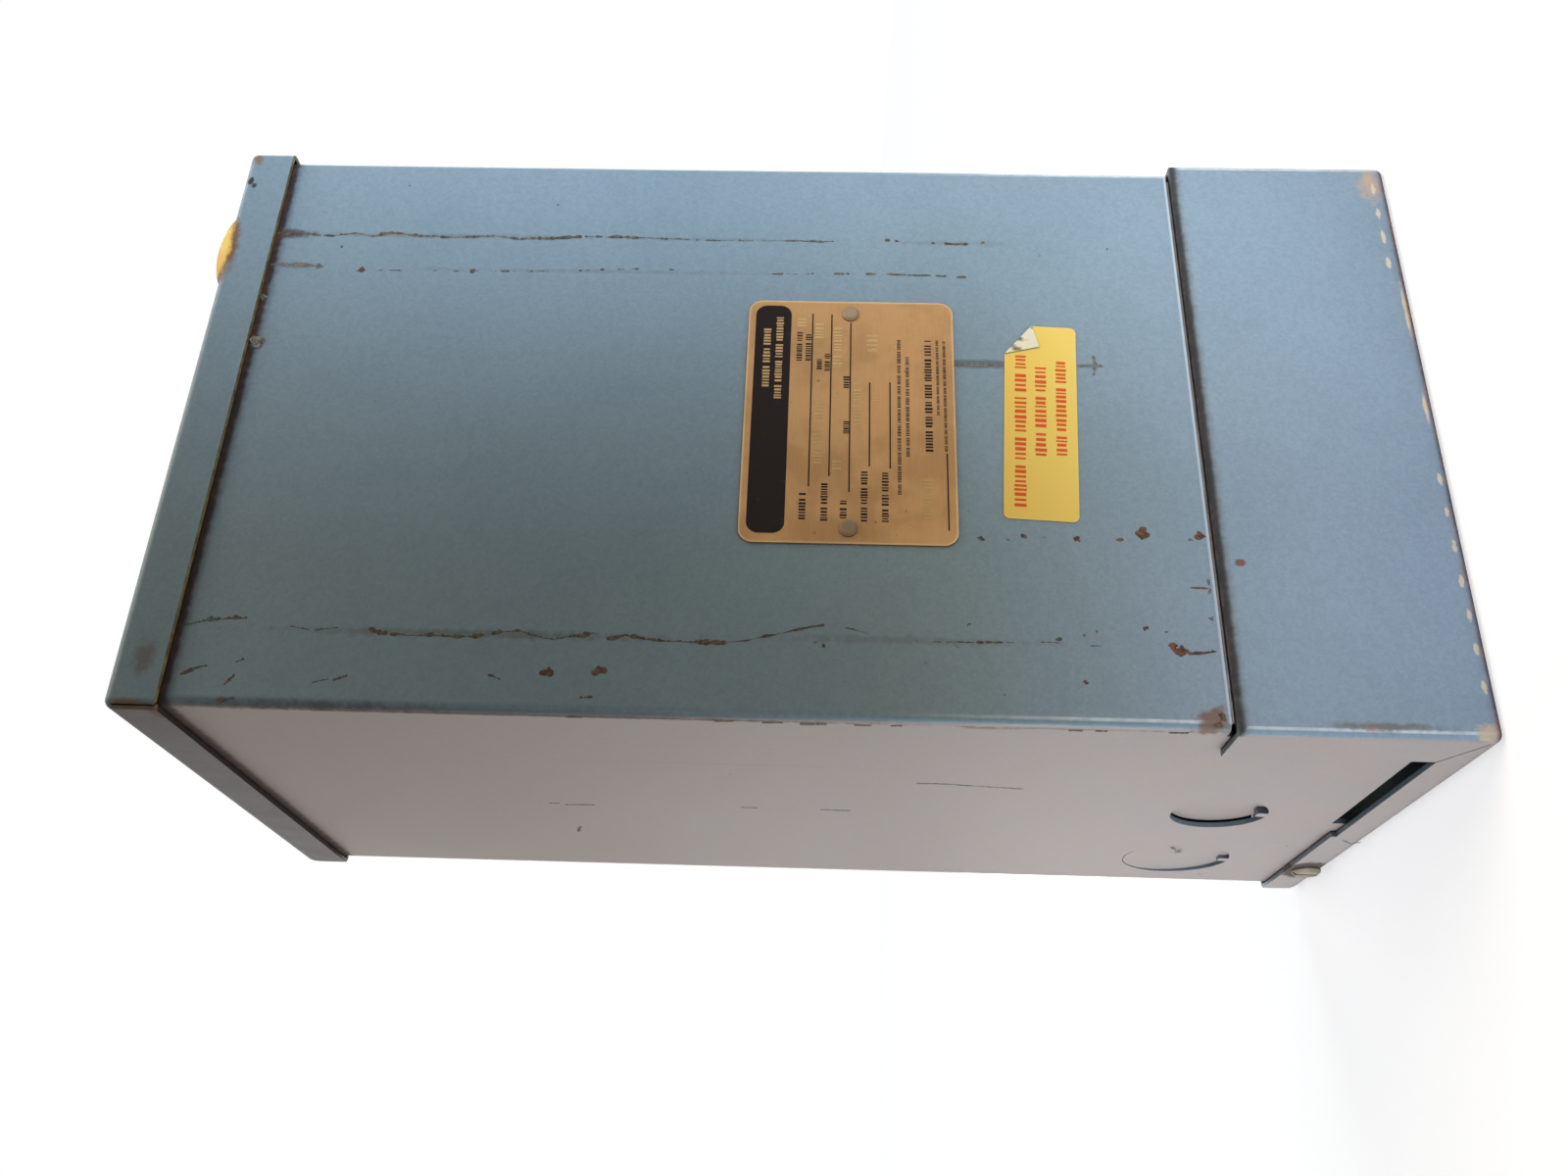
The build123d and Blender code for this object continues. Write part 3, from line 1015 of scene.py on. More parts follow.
CASE_PATCHES = (
    # Dark bands under the cap's lip, on the -X side and the front: rust and dirt, and painted shade
    # under the lip.
    Patch((-92.1, 0, 341.2), (3, 300, 3.4), linear(48, 40, 44), 0.9, 0.35, 0.25),
    Patch((0, -78.1, 341.8), (300, 6, 4.4), linear(70, 52, 52), 0.75, 0.15, 0.3),
    Patch((0, -78.1, 341.6), (300, 6, 2.4), linear(34, 24, 22), 0.95, 0.4, 0.35),
    # A pale line along the seam's top: a painted highlight on the case's cut edge.
    Patch((0, -78.1, 67.3), (300, 3, 0.6), linear(190, 206, 216), 0.8, 0.3, 0.12),
    Patch((-92.1, -61.9, 33), (3, 1.4, 36), linear(104, 92, 88), 0.7, 0.5, 0.2),
    Patch((62.5, -78.1, 339), (2.6, 4, 12), RUST_DARK, 0.8),
    # Darker brown on the -X bend up top: dirt and painted shade.
    Patch((-92.3, -78.1, 300), (3.0, 3.0, 44), linear(74, 60, 48), 0.55, 0.2, 0.8),
    Patch((-92.2, -75.5, 238), (2.5, 0.9, 116), linear(72, 66, 60), 0.8, 0.4, 0.7),
    Patch((-92.2, -75.3, 108), (2.5, 0.7, 44), linear(110, 102, 96), 0.5, 0.3, 1.1),
    # Grey darkening of the -X bend's middle, high up: painted shade.
    Patch((-91.6, -76.6, 250), (1.3, 1.6, 120), linear(84, 88, 88), 0.45, 0.3, 0.4),
    Patch((-92.2, -74.6, 127), (2.5, 1.1, 12), linear(140, 102, 84), 0.7, 0.2, 0.9),
    Patch((18.2, -78.1, 127), (1.9, 3, 17), linear(84, 90, 88), 0.75, 0.5, 0.35),
    Patch((18.2, -78.1, 95), (1.1, 3, 5), linear(84, 90, 88), 0.6, 0.4, 0.5),
    Patch((50.3, -78.1, 334), (1.6, 3, 9), linear(84, 92, 92), 0.6, 0.3, 0.5),
    Patch((62.6, -78.1, 285), (1.3, 3, 60), linear(92, 92, 72), 0.45, 0.1, 1.1),
    Patch((62.8, -78.1, 205), (1.0, 3, 44), linear(98, 108, 108), 0.4, 0.1, 1.0),
    Patch((62.7, -78.1, 134), (1.5, 3, 22), linear(104, 112, 112), 0.4, 0.1, 1.2),
    Patch((49.8, -78.1, 240), (1.1, 3, 80), linear(104, 112, 112), 0.3, 0.1, 1.2),
    Patch((-70.6, -78.1, 265), (1.8, 3, 74), linear(82, 78, 58), 0.5, 0.1, 1.1),
    Patch((-69.6, -78.1, 150), (1.6, 3, 52), linear(96, 98, 88), 0.35, 0.1, 1.2),
    Patch((-90.5, -77.5, 71.5), (5.2, 4, 6.2), linear(120, 92, 78), 0.9, 0.5, 0.9),
    Patch((-92.0, -77.0, 68.2), (2.2, 3, 3.0), linear(120, 122, 124), 0.9, 0.5, 0.6, 0.4),
    Patch((-92.3, -40, 200), (2.5, 0.6, 70), linear(140, 134, 134), 0.35, 0.1, 0.6),
)

CAP_PATCHES = (
    Patch((56, -79.0, 356.8), (16.2, 8, 6.2), linear(122, 80, 44), 0.95, 0.55, 0.35),
    Patch((56, -79.5, 357.5), (13.5, 8, 4.4), linear(232, 200, 104), 1.0, 0.5, 0.55, 0.45),
    Patch((51, -79.5, 358), (6.5, 8, 3.2), linear(230, 168, 92), 0.85, 0.2, 0.6, 0.45),
    Patch((82, -80, 353.3), (2.0, 3, 1.2), SOOT, 1.0, 0.5, 0.5),
    Patch((80, -80, 351.8), (1.3, 3, 1.0), SOOT, 0.9, 0.5, 0.5),
    Patch((91, -79, 353), (3.4, 5, 3.2), linear(128, 96, 66), 0.75, 0.2, 0.9),
    Patch((-80, -80, 347.5), (7, 3, 4), linear(96, 78, 66), 0.6, 0.2, 0.7),
    Patch((-93.6, -79.6, 349), (2.4, 3, 9), linear(130, 110, 84), 0.8, 0.3, 0.7),
    Patch((-94, -76, 343), (3, 6, 1.8), linear(120, 84, 58), 0.7, 0.3, 0.7),
)

COVER_PATCHES = (
    Patch((38, -80, 2.2), (12.5, 3, 0.9), CREAM, 0.9, 0.4, 0.45),
    Patch((4.5, -80, 2.6), (6.0, 3, 0.8), CREAM, 0.9, 0.4, 0.45),
    Patch((-91.8, -79, 3.2), (3.0, 4, 6.0), linear(200, 180, 152), 0.85, 0.4, 0.8),
    Patch((86, -79, 5.0), (9, 4, 5.0), linear(206, 170, 132), 0.75, 0.15, 0.6),
    Patch((-91.0, -80, 29), (1.5, 3, 19), linear(104, 100, 84), 0.8, 0.2, 0.8),
    Patch((-91.8, -80, 33), (1.1, 3, 3.0), linear(148, 116, 102), 0.8, 0.2, 0.8),
    Patch((-45.6, -80, 60.2), (1.4, 3, 2.1), RUST_BROWN, 0.9, 0.5, 0.6),
    # Along the seam at the cover's top: an olive band of painted shade on its rounded top edge, and
    # a near-black line of painted shadow in the gap.
    Patch((0, -80, 65.4), (300, 3, 3.4), linear(84, 84, 70), 0.6, 0.2, 0.4),
    Patch((0, -80, 65.6), (300, 3, 1.9), linear(30, 26, 30), 0.9, 0.4, 0.2),
    # Dark ring round the -X cover screw: rust and painted contact shadow.
    Patch((-94, 51.2, 5.6), (3, 11.5, 8.6), linear(62, 52, 46), 0.95, 0.72, 0.3),
)

COVER_ROWS = (
    DashRow(-19.0, -10.1, 7, 2.9, 2.0, 0.75, WORN_PAINT),
    DashRow(84.5, -9.4, 4, 4.4, 2.3, 0.75, WORN_PAINT),
)


KNOCKOUT_ZONE = Patch((0, 20, 50), (300, 62, 26), SOOT, core=0.9, ragged=0.0)


class Finishes:
    """Builds each finish once and hands out its material."""

    def __init__(self, kit: ShaderKit) -> None:
        """Build all finishes.

        Args:
            kit: The shared shader groups.
        """
        made = (
            Enamel(
                "case_enamel", patches=CASE_PATCHES, rub=0.75, highlight_levels=(165, 85),
                clean=KNOCKOUT_ZONE,
            ),
            # On the cap the side film is dark: painted shade on the cap's sides, strongest on the
            # -X side.
            Enamel(
                "cap_enamel", patches=CAP_PATCHES, edge_amount=0.5, cut_level=341.8,
                dust_and_painted_light=linear(78, 60, 54), dust_and_painted_light_near=0.95, specular=0.15,
            ),
            Enamel("cover_enamel", patches=COVER_PATCHES, rows=COVER_ROWS, rub=0.7),
            Enamel("back_enamel", base=linear(124, 144, 158), speck_share=0.06),
            Enamel("knockout_enamel", grime_and_shade_share=0.3, edge_radius=0.0004),
            Metal(
                "plate_gold",
                base=linear(172, 130, 82),
                dull=linear(160, 122, 78),
                dirt_and_shade=linear(96, 70, 46),
                rough=0.5,
                brushed=True,
                edge=linear(226, 202, 156),
                edge_radius=0.0012,
            ),
            Metal(
                "rivet_metal", linear(150, 126, 98), linear(132, 112, 88), linear(64, 48, 38),
                rough=0.55, metallic=0.3, edge=linear(176, 152, 122),
            ),
            Metal(
                "screw_metal", linear(146, 134, 116), linear(118, 104, 88), linear(52, 42, 36),
                rough=0.55, metallic=0.15, edge=linear(172, 160, 142),
            ),
            Metal(
                "inner_metal", linear(150, 152, 150), linear(118, 120, 118), linear(70, 62, 56),
                rough=0.45, metallic=0.7,
            ),
            Paper("label_paper"),
            Ink("label_ink", linear(222, 92, 42), linear(236, 150, 74), 0.55),
            Ink("plate_ink", linear(24, 12, 10), linear(76, 54, 40), 0.5),
            Ink("plate_light", linear(206, 172, 122), linear(180, 142, 96), 0.5),
            Crust("rust_spots", linear(114, 78, 58), linear(106, 88, 66), linear(64, 46, 38)),
            Crust("dark_scrape", linear(88, 90, 80), linear(104, 96, 76), linear(54, 52, 46), 0.8),
            Crust("brown_scrape", linear(98, 80, 62), linear(84, 88, 78), linear(54, 44, 38), 0.8),
            Crust(
                "faint_scrape", linear(120, 118, 112), linear(106, 108, 104), linear(82, 82, 80),
                rough=0.7,
            ),
            Crust(
                "weld_bead", linear(142, 140, 120), linear(112, 116, 100), linear(64, 62, 52),
                rough=0.5, scale=1400.0, depth=0.0001,
            ),
            Crust(
                "potting_resin", linear(60, 52, 46), linear(54, 48, 44), linear(34, 30, 28),
                rough=0.6, scale=500.0, depth=0.0002,
            ),
        )
        self.materials = {finish.name: finish.build(kit) for finish in made}
        LOG.info("finishes: %d materials", len(self.materials))

    def __getitem__(self, name: str) -> bpy.types.Material:
        """Look a material up by its finish's name."""
        return self.materials[name]


# Geometry groups


class TrailGroup:
    """Geometry nodes that scatter small flat beads along a curve, as chipped paint or rust."""

    SEED_SHIFT = (0.37, 0.11, 0.23)
    LOOSE_SHARE = 0.18
    SMALLEST = (0.45, 0.9, 0.5)
    LARGEST = (1.35, 1.1, 1.3)
    SWELL_SCALE = 260.0
    SWELL_PLACES = (0.38, 0.66)
    THINNEST = 0.45
    SWELL = 1.1

    def __init__(self) -> None:
        """Build the group."""
        g = GroupTree(
            "Wear Trail",
            {
                "Curve": ("geometry", None),
                "Spacing": ("value", 0.0004),
                "Wander": ("vector", (0.0, 0.0, 0.0)),
                "Wander Scale": ("value", 120.0),
                "Gap": ("value", 0.4),
                "Gap Scale": ("value", 90.0),
                "Bead": ("vector", (0.0003, 0.0001, 0.0005)),
                "Seed": ("count", 1),
                "Finish": ("material", None),
            },
            {"Mesh": "geometry"},
            "GeometryNodeTree",
        )
        given = g.given
        points = g.node(
            "GeometryNodeCurveToPoints",
            {"Curve": given["Curve"], "Length": given["Spacing"]},
            mode="LENGTH",
        )
        where = g.node("GeometryNodeInputPosition").outputs[0]
        shifted = g.vector("ADD", where, g.vector("SCALE", self.SEED_SHIFT, given["Seed"]))

        gaps = g.noise(shifted, given["Gap Scale"], detail=3.0, rough=0.6)
        sparse = g.node(
            "FunctionNodeCompare",
            {0: gaps, 1: given["Gap"]},
            data_type="FLOAT",
            operation="LESS_THAN",
        )
        kept = g.node(
            "GeometryNodeDeleteGeometry",
            {"Geometry": points.outputs["Points"], "Selection": sparse.outputs[0]},
            domain="POINT",
        )

        wander = g.noise(shifted, given["Wander Scale"], detail=4.0, rough=0.5, coloured=True)
        swing = g.vector("MULTIPLY", g.vector("SUBTRACT", wander, HALF), given["Wander"])
        low = tuple(-value for value in HALF)
        jitter = self._random(g, low, HALF)
        loose = g.vector("MULTIPLY", jitter, given["Wander"])
        swing = g.vector("ADD", swing, g.vector("SCALE", loose, self.LOOSE_SHARE))
        moved = g.node("GeometryNodeSetPosition", {"Geometry": kept.outputs[0], "Offset": swing})

        size = self._random(g, self.SMALLEST, self.LARGEST)
        swell = g.noise(shifted, self.SWELL_SCALE, detail=2.0, rough=0.5)
        swell = g.times(g.ramp(swell, *self.SWELL_PLACES), self.SWELL)
        thick = g.math("ADD", swell, self.THINNEST)
        grown = g.vector("MULTIPLY", size, g.join(thick, 1.0, thick))
        ball = g.node("GeometryNodeMeshIcoSphere", {"Radius": 1.0, "Subdivisions": 2})
        beads = g.node(
            "GeometryNodeInstanceOnPoints",
            {
                "Points": moved.outputs[0],
                "Instance": ball.outputs["Mesh"],
                "Scale": g.vector("MULTIPLY", grown, given["Bead"]),
            },
        )
        real = g.node("GeometryNodeRealizeInstances", {0: beads.outputs[0]})
        g.paint(g.node("GeometryNodeSetShadeSmooth", {0: real.outputs[0]}).outputs[0])
        self.group = g

    @staticmethod
    def _random(g: GroupTree, low: Point, high: Point) -> object:
        """Draw a random vector for each point, from the group's seed.

        Args:
            g: The group.
            low: The lowest values.
            high: The highest values.

        Returns:
            The vector's socket.
        """
        inputs = {0: low, 1: high, "Seed": g.given["Seed"]}
        return g.node("FunctionNodeRandomValue", inputs, data_type="FLOAT_VECTOR").outputs[0]

    def grow(self, line: list[Point], settings: dict[str, object]) -> bpy.types.Mesh:
        """Grow beads along a line.

        Args:
            line: The line's points, in metres.
            settings: Values for the group's named inputs.

        Returns:
            The plain mesh.
        """
        curve = bpy.data.curves.new("trail", "CURVE")
        curve.dimensions = "3D"
        spline = curve.splines.new("POLY")
        spline.points.add(len(line) - 1)
        for point, place in zip(spline.points, line):
            point.co = (*place, 1.0)
        return bake(bpy.data.objects.new("trail", curve), self.group, settings)


class BarGroup:
    """Geometry nodes that put a thin printed bar on every point, sized by an attribute."""

    SIZE = "bar_size"

    def __init__(self) -> None:
        """Build the group."""
        g = GroupTree(
            "Printed Bars",
            {"Points": ("geometry", None), "Finish": ("material", None)},
            {"Mesh": "geometry"},
            "GeometryNodeTree",
        )
        size = g.node(
            "GeometryNodeInputNamedAttribute", {"Name": self.SIZE}, data_type="FLOAT_VECTOR"
        )
        points = g.node("GeometryNodeMeshToPoints", {"Mesh": g.given["Points"]})
        box = g.node("GeometryNodeMeshCube", {"Size": (1.0, 1.0, 1.0)})
        bars = g.node(
            "GeometryNodeInstanceOnPoints",
            {
                "Points": points.outputs[0],
                "Instance": box.outputs["Mesh"],
                "Scale": size.outputs["Attribute"],
            },
        )
        g.paint(g.node("GeometryNodeRealizeInstances", {0: bars.outputs[0]}).outputs[0])
        self.group = g

    def print(self, bars: list[tuple[Point, Point]], finish: bpy.types.Material) -> bpy.types.Mesh:
        """Print bars.

        Args:
            bars: Each bar's centre and size, in metres.
            finish: The bars' material.

        Returns:
            The plain mesh.
        """
        mesh = bpy.data.meshes.new("bars")
        mesh.from_pydata([centre for centre, _ in bars], [], [])
        sizes = mesh.attributes.new(self.SIZE, "FLOAT_VECTOR", "POINT")
        sizes.data.foreach_set("vector", [value for _, size in bars for value in size])
        return bake(bpy.data.objects.new("bars", mesh), self.group, {"Finish": finish})


def bake(
    carrier: bpy.types.Object, group: GroupTree, settings: dict[str, object]
) -> bpy.types.Mesh:
    """Run a geometry group on an object and keep the result as a plain mesh.

    Args:
        carrier: The object that the group reads. It is removed afterwards.
        group: The geometry group.
        settings: Values for its named inputs.

    Returns:
        The plain mesh.
    """
    bpy.context.scene.collection.objects.link(carrier)
    modifier = carrier.modifiers.new("grow", "NODES")
    modifier.node_group = group.tree
    for label, value in settings.items():
        modifier[group.identifier(label)] = value
    graph = bpy.context.evaluated_depsgraph_get()
    mesh = bpy.data.meshes.new_from_object(carrier.evaluated_get(graph))
    carrier.modifiers.remove(modifier)
    bpy.data.objects.remove(carrier)
    return mesh


# Meshes and pieces


def add_piece(name: str, mesh: bpy.types.Mesh) -> bpy.types.Object:
    """Add a piece that rides on the body.

    Args:
        name: The piece's name.
        mesh: Its mesh, in metres and in place.

    Returns:
        The new object.
    """
    mesh.name = name
    piece = bpy.data.objects.new(name, mesh)
    bpy.context.scene.collection.objects.link(piece)
    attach(piece, ROOT)
    LOG.info("piece %s: %d faces", name, len(mesh.polygons))
    return piece


def joined(meshes: list[bpy.types.Mesh]) -> bpy.types.Mesh:
    """Put meshes with the same materials together.

    Args:
        meshes: The meshes to join.

    Returns:
        One mesh.
    """
    whole = bmesh.new()
    for mesh in meshes:
        whole.from_mesh(mesh)
    result = bpy.data.meshes.new("joined")
    whole.to_mesh(result)
    whole.free()
    for material in meshes[0].materials:
        result.materials.append(material)
    return result


# Sub-assemblies


@dataclass(frozen=True)
class Housing:
    """The CAD solids, each with the finish that it gets."""

    nodes: dict[str, bpy.types.Object]
    finishes: Finishes

    FINISH = {
        "case_shell": "case_enamel",
        "top_cap": "cap_enamel",
        "wiring_cover": "cover_enamel",
        "back_panel": "back_enamel",
        "compartment_deck": "inner_metal",
        "core_block": "potting_resin",
        "left_small_knockout": "knockout_enamel",
        "left_large_knockout": "knockout_enamel",
        "right_small_knockout": "knockout_enamel",
        "right_large_knockout": "knockout_enamel",
        "left_cover_screw": "screw_metal",
        "right_cover_screw": "screw_metal",
        "nameplate": "plate_gold",
        "nameplate_rivet_left": "rivet_metal",
        "nameplate_rivet_right": "rivet_metal",
        "rating_label": "label_paper",
    }

    def dress(self) -> None:
        """Give every node its finish."""
        for name, node in self.nodes.items():
            finish = self.finishes[self.FINISH[name]]
            node.data.materials.clear()
            node.data.materials.append(finish)
            LOG.info("dressed %s with %s", name, finish.name)


class Face(Enum):
    """The flat faces that carry wear, each with its outer level in millimetres."""

    FRONT = -78.1
    LEFT = -92.1
    LEFT_FLANGE = -94.0

    def put(self, along: float, z: float) -> Point:
        """Place a point on the face.

        Args:
            along: X on the front, Y on a side, in millimetres.
            z: Up, in millimetres.

        Returns:
            The place in metres.
        """
        return metres((along, self.value, z) if self is Face.FRONT else (self.value, along, z))

    def spread(self, along: float, out: float, up: float) -> Point:
        """Turn sizes along, out of and up the face into a vector.

        Args:
            along: Size along the face, in millimetres.
            out: Size out of the face, in millimetres.
            up: Size up the face, in millimetres.

        Returns:
            The sizes along X, Y and Z, in metres.
        """
        return metres((along, out, up) if self is Face.FRONT else (out, along, up))


@dataclass(frozen=True)
class Trail:
    """A line of wear on the front or a side, as points along it in millimetres."""

    points: tuple[tuple[float, float], ...]
    width: float = 0.32
    wander: float = 1.2
    gap: float = 0.44
    gap_scale: float = 90.0
    spacing: float = 0.42
    face: Face = Face.FRONT


@dataclass(frozen=True)
class Spot:
    """A chip or rust spot on the front, in millimetres."""

    x: float
    z: float
    half_x: float
    half_z: float


@dataclass(frozen=True)
class WearMarks:
    """Scrapes, chips and rust spots on the case's flat faces."""

    finishes: Finishes
    trails: TrailGroup
    upper: tuple[Trail, ...] = (
        Trail(
            (
                (62.5, 341.0), (62.5, 332.3), (61.9, 323.7), (63.3, 317.5), (62.0, 312.0),
                (63.6, 306.5), (62.8, 298.4), (61.9, 286.7), (62.9, 274.2), (61.5, 266.7),
                (62.3, 256.0), (63.2, 243.0), (63.1, 233.0), (62.8, 221.0),
            ),
            0.42, 1.2, 0.4,
        ),
        Trail(((62.8, 221.0), (62.3, 206.0), (62.6, 191.1), (62.6, 170.3)), 0.3, 1.0, 0.48),
        Trail(
            (
                (63.3, 153.9), (62.7, 146.5), (62.5, 140.6), (62.3, 133.2), (62.8, 125.8),
                (64.2, 117.0),
            ),
            0.4, 1.4, 0.52, 260.0,
        ),
        Trail(
            (
                (48.5, 318.0), (48.9, 305.5), (49.0, 294.1), (49.2, 279.1), (49.4, 263.2),
                (50.0, 246.3), (51.0, 227.5), (50.8, 214.2), (50.0, 196.5),
            ),
            0.24, 0.7, 0.54, 240.0,
        ),
        Trail(
            ((49.9, 190.0), (50.2, 170.1), (50.4, 161.3), (50.3, 146.7), (49.8, 130.6)),
            0.3, 0.9, 0.5, 260.0,
        ),
    )
    lower: tuple[Trail, ...] = (
        Trail(
            ((-70.1, 341.5), (-69.5, 337.4), (-68.4, 333.8), (-67.7, 327.2), (-67.6, 323.8)),
            0.5, 1.2, 0.36,
        ),
        Trail(((-69.8, 311.5), (-70.7, 305.7), (-69.9, 299.0)), 0.28, 0.8, 0.45),
        Trail(
            (
                (-69.8, 290.4), (-71.0, 286.9), (-71.5, 280.3), (-71.3, 273.8), (-71.5, 269.1),
                (-71.5, 261.7), (-69.9, 255.5), (-69.5, 250.5), (-71.5, 243.9), (-71.5, 240.9),
                (-69.7, 230.6), (-71.1, 226.8), (-70.0, 222.3), (-71.2, 217.0), (-71.5, 206.2),
                (-71.6, 196.0),
            ),
            0.5, 1.3, 0.4,
        ),
        Trail(
            ((-71.6, 197.0), (-70.8, 190.5), (-69.0, 184.0), (-66.3, 173.5), (-65.9, 171.0)),
            0.26, 0.7, 0.4,
        ),
        Trail(((-66.5, 164.4), (-69.3, 154.2), (-69.9, 145.4), (-69.8, 130.2)), 0.2, 0.7, 0.52),
        Trail(
            ((-69.8, 130.2), (-69.4, 117.0), (-69.3, 110.0), (-70.1, 98.7)),
            0.24, 0.8, 0.52, 200.0,
        ),
    )
    faint: tuple[Trail, ...] = (
        Trail(((18.1, 134.0), (18.0, 121.0)), 0.6, 0.8, 0.3),
        Trail(((18.1, 98.6), (18.2, 92.0)), 0.35, 0.5, 0.3),
        Trail(((21.4, 94.0), (18.4, 93.7), (15.1, 94.4)), 0.35, 0.6, 0.3),
        Trail(((50.5, 341.0), (50.3, 333.0), (50.0, 325.6)), 0.6, 1.6, 0.36, 200.0),
    )
    chips: tuple[Trail, ...] = (
        Trail(((-84.0, 337.3), (-81.9, 333.5), (-81.5, 331.5)), 0.4, 0.5, 0.3),
        Trail(((-80.1, 323.6), (-79.4, 322.2)), 0.5, 0.4, 0.2),
        Trail(((-86.6, 325.5), (-84.1, 323.7)), 0.45, 0.4, 0.2),
        Trail(((-85.4, 302.5), (-84.4, 299.0)), 0.6, 0.5, 0.2),
        Trail(((-84.5, 297.1), (-83.3, 294.1)), 0.6, 0.5, 0.2),
        Trail(((-82.2, 256.8), (-83.3, 254.0)), 0.4, 0.4, 0.2),
        Trail(((-90.9, 326.0), (-90.2, 322.5)), 0.5, 0.5, 0.2),
        Trail(((-87.8, 232.5), (-87.6, 230.0)), 0.6, 0.6, 0.3),
        Trail(((-71.6, 75.8), (-71.2, 71.4), (-70.8, 69.4)), 0.35, 0.5, 0.35),
        Trail(((-52.5, 72.5), (-52.6, 69.5)), 0.25, 0.4, 0.3),
    )
    side: tuple[Trail, ...] = (
        Trail(((4.0, 249.2), (3.7, 245.0), (3.4, 240.6)), 0.55, 0.5, 0.3, face=Face.LEFT),
        Trail(((2.6, 254.2), (2.6, 251.5)), 0.5, 0.4, 0.3, face=Face.LEFT),
        Trail(((1.8, 196.2), (1.8, 190.0)), 0.5, 0.6, 0.4, face=Face.LEFT),
        Trail(((2.0, 169.6), (2.3, 161.4)), 0.6, 0.6, 0.38, face=Face.LEFT),
        Trail(
            ((-27.1, 142.2), (-27.0, 133.3), (-25.7, 124.8), (-24.4, 112.5)),
            0.55, 0.7, 0.42, face=Face.LEFT,
        ),
        Trail(((28.5, 248.5), (31.2, 249.5), (34.5, 250.2)), 0.4, 0.6, 0.34, face=Face.LEFT),
        Trail(((36.0, 54.2), (37.4, 52.6)), 0.6, 0.2, 0.1, face=Face.LEFT),
        Trail(((41.5, 51.6), (39.2, 50.2)), 0.6, 0.2, 0.1, face=Face.LEFT),
        Trail(((14.2, 6.2), (17.6, 2.8)), 0.5, 0.3, 0.15, face=Face.LEFT_FLANGE),
        Trail(((17.6, 2.8), (15.6, 1.0)), 0.5, 0.3, 0.15, face=Face.LEFT_FLANGE),
    )
    bend: tuple[Trail, ...] = (
        Trail(((-75.0, 236.0), (-75.2, 232.4)), 0.7, 0.5, 0.3, face=Face.LEFT),
        Trail(((-74.8, 197.8), (-75.0, 193.6)), 0.7, 0.5, 0.3, face=Face.LEFT),
        Trail(((-74.4, 185.5), (-74.8, 181.2)), 0.6, 0.5, 0.3, face=Face.LEFT),
        Trail(((-74.4, 176.0), (-74.5, 169.6)), 1.1, 0.6, 0.2, face=Face.LEFT),
        Trail(((-74.4, 161.4), (-74.7, 150.2)), 0.6, 0.8, 0.4, face=Face.LEFT),
        Trail(((-74.4, 107.4), (-74.5, 104.4)), 0.7, 0.4, 0.2, face=Face.LEFT),
        Trail(((-74.5, 100.4), (-74.6, 98.0)), 0.7, 0.4, 0.2, face=Face.LEFT),
        Trail(((-74.6, 81.4), (-74.8, 77.6)), 0.7, 0.4, 0.2, face=Face.LEFT),
    )
    rust: tuple[Spot, ...] = (
        Spot(49.2, 313.1, 1.2, 1.3), Spot(49.2, 279.1, 0.8, 0.8), Spot(50.0, 246.3, 0.5, 0.6),
        Spot(-80.8, 242.2, 2.0, 2.5), Spot(-80.4, 228.2, 1.9, 2.4), Spot(-64.6, 132.6, 0.9, 0.9),
        Spot(-36.2, 84.8, 2.0, 1.7), Spot(-38.2, 72.3, 1.1, 1.0), Spot(-36.7, 69.4, 2.2, 1.8),
        Spot(-50.9, 68.6, 1.3, 0.6), Spot(-53.6, 68.6, 1.5, 0.7), Spot(-61.3, 69.0, 1.3, 0.9),
        Spot(-64.6, 86.7, 1.1, 1.3), Spot(-65.8, 99.1, 0.7, 0.9), Spot(-67.2, 102.6, 0.7, 0.8),
        Spot(-65.6, 81.2, 0.8, 0.8), Spot(-80.3, 102.9, 0.7, 0.6), Spot(-38.9, 102.6, 1.0, 0.9),
        Spot(-38.6, 91.0, 0.6, 1.2), Spot(-69.4, 79.8, 1.6, 1.5), Spot(-71.0, 77.6, 1.3, 2.0),
        Spot(-91.0, 70.6, 0.9, 2.4), Spot(-89.0, 69.4, 1.6, 1.6),
    )
    specks: tuple[Spot, ...] = (
        Spot(82.5, 303.7, 0.5, 0.5), Spot(75.6, 256.0, 0.5, 0.7), Spot(1.8, 300.9, 0.9, 0.25),
        Spot(58.3, 107.7, 0.4, 0.4), Spot(61.1, 87.1, 0.5, 0.5), Spot(57.9, 320.8, 0.6, 0.5),
        Spot(-72.0, 170.5, 0.6, 0.6), Spot(-76.0, 144.0, 0.6, 0.6), Spot(-84.2, 124.0, 0.4, 0.4),
        Spot(-39.0, 128.4, 0.8, 1.2), Spot(-39.3, 121.2, 0.5, 0.7), Spot(-38.1, 117.0, 0.9, 1.1),
        Spot(-38.2, 111.3, 0.7, 0.8), Spot(-70.7, 172.7, 0.7, 0.8), Spot(-68.5, 109.1, 0.8, 0.9),
        Spot(-70.9, 135.9, 0.6, 0.7),
    )

    WANDER_SCALE = 140.0
    WANDER_UP = 0.4
    BEAD_OUT = 0.05
    BEAD_UP = 0.55
    SPOT_POINTS = 6
    SPOT_REACH = 0.35
    SPOT_SPREAD = 0.4
    SPOT_BEAD = 0.42
    SPOT_SETTINGS = {
        "Spacing": 0.5 * MM,
        "Wander": (0.2 * MM, 0.0, 0.2 * MM),
        "Wander Scale": 300.0,
        "Gap": 0.02,
        "Gap Scale": 90.0,
    }
    SPOT_OUT = 0.06

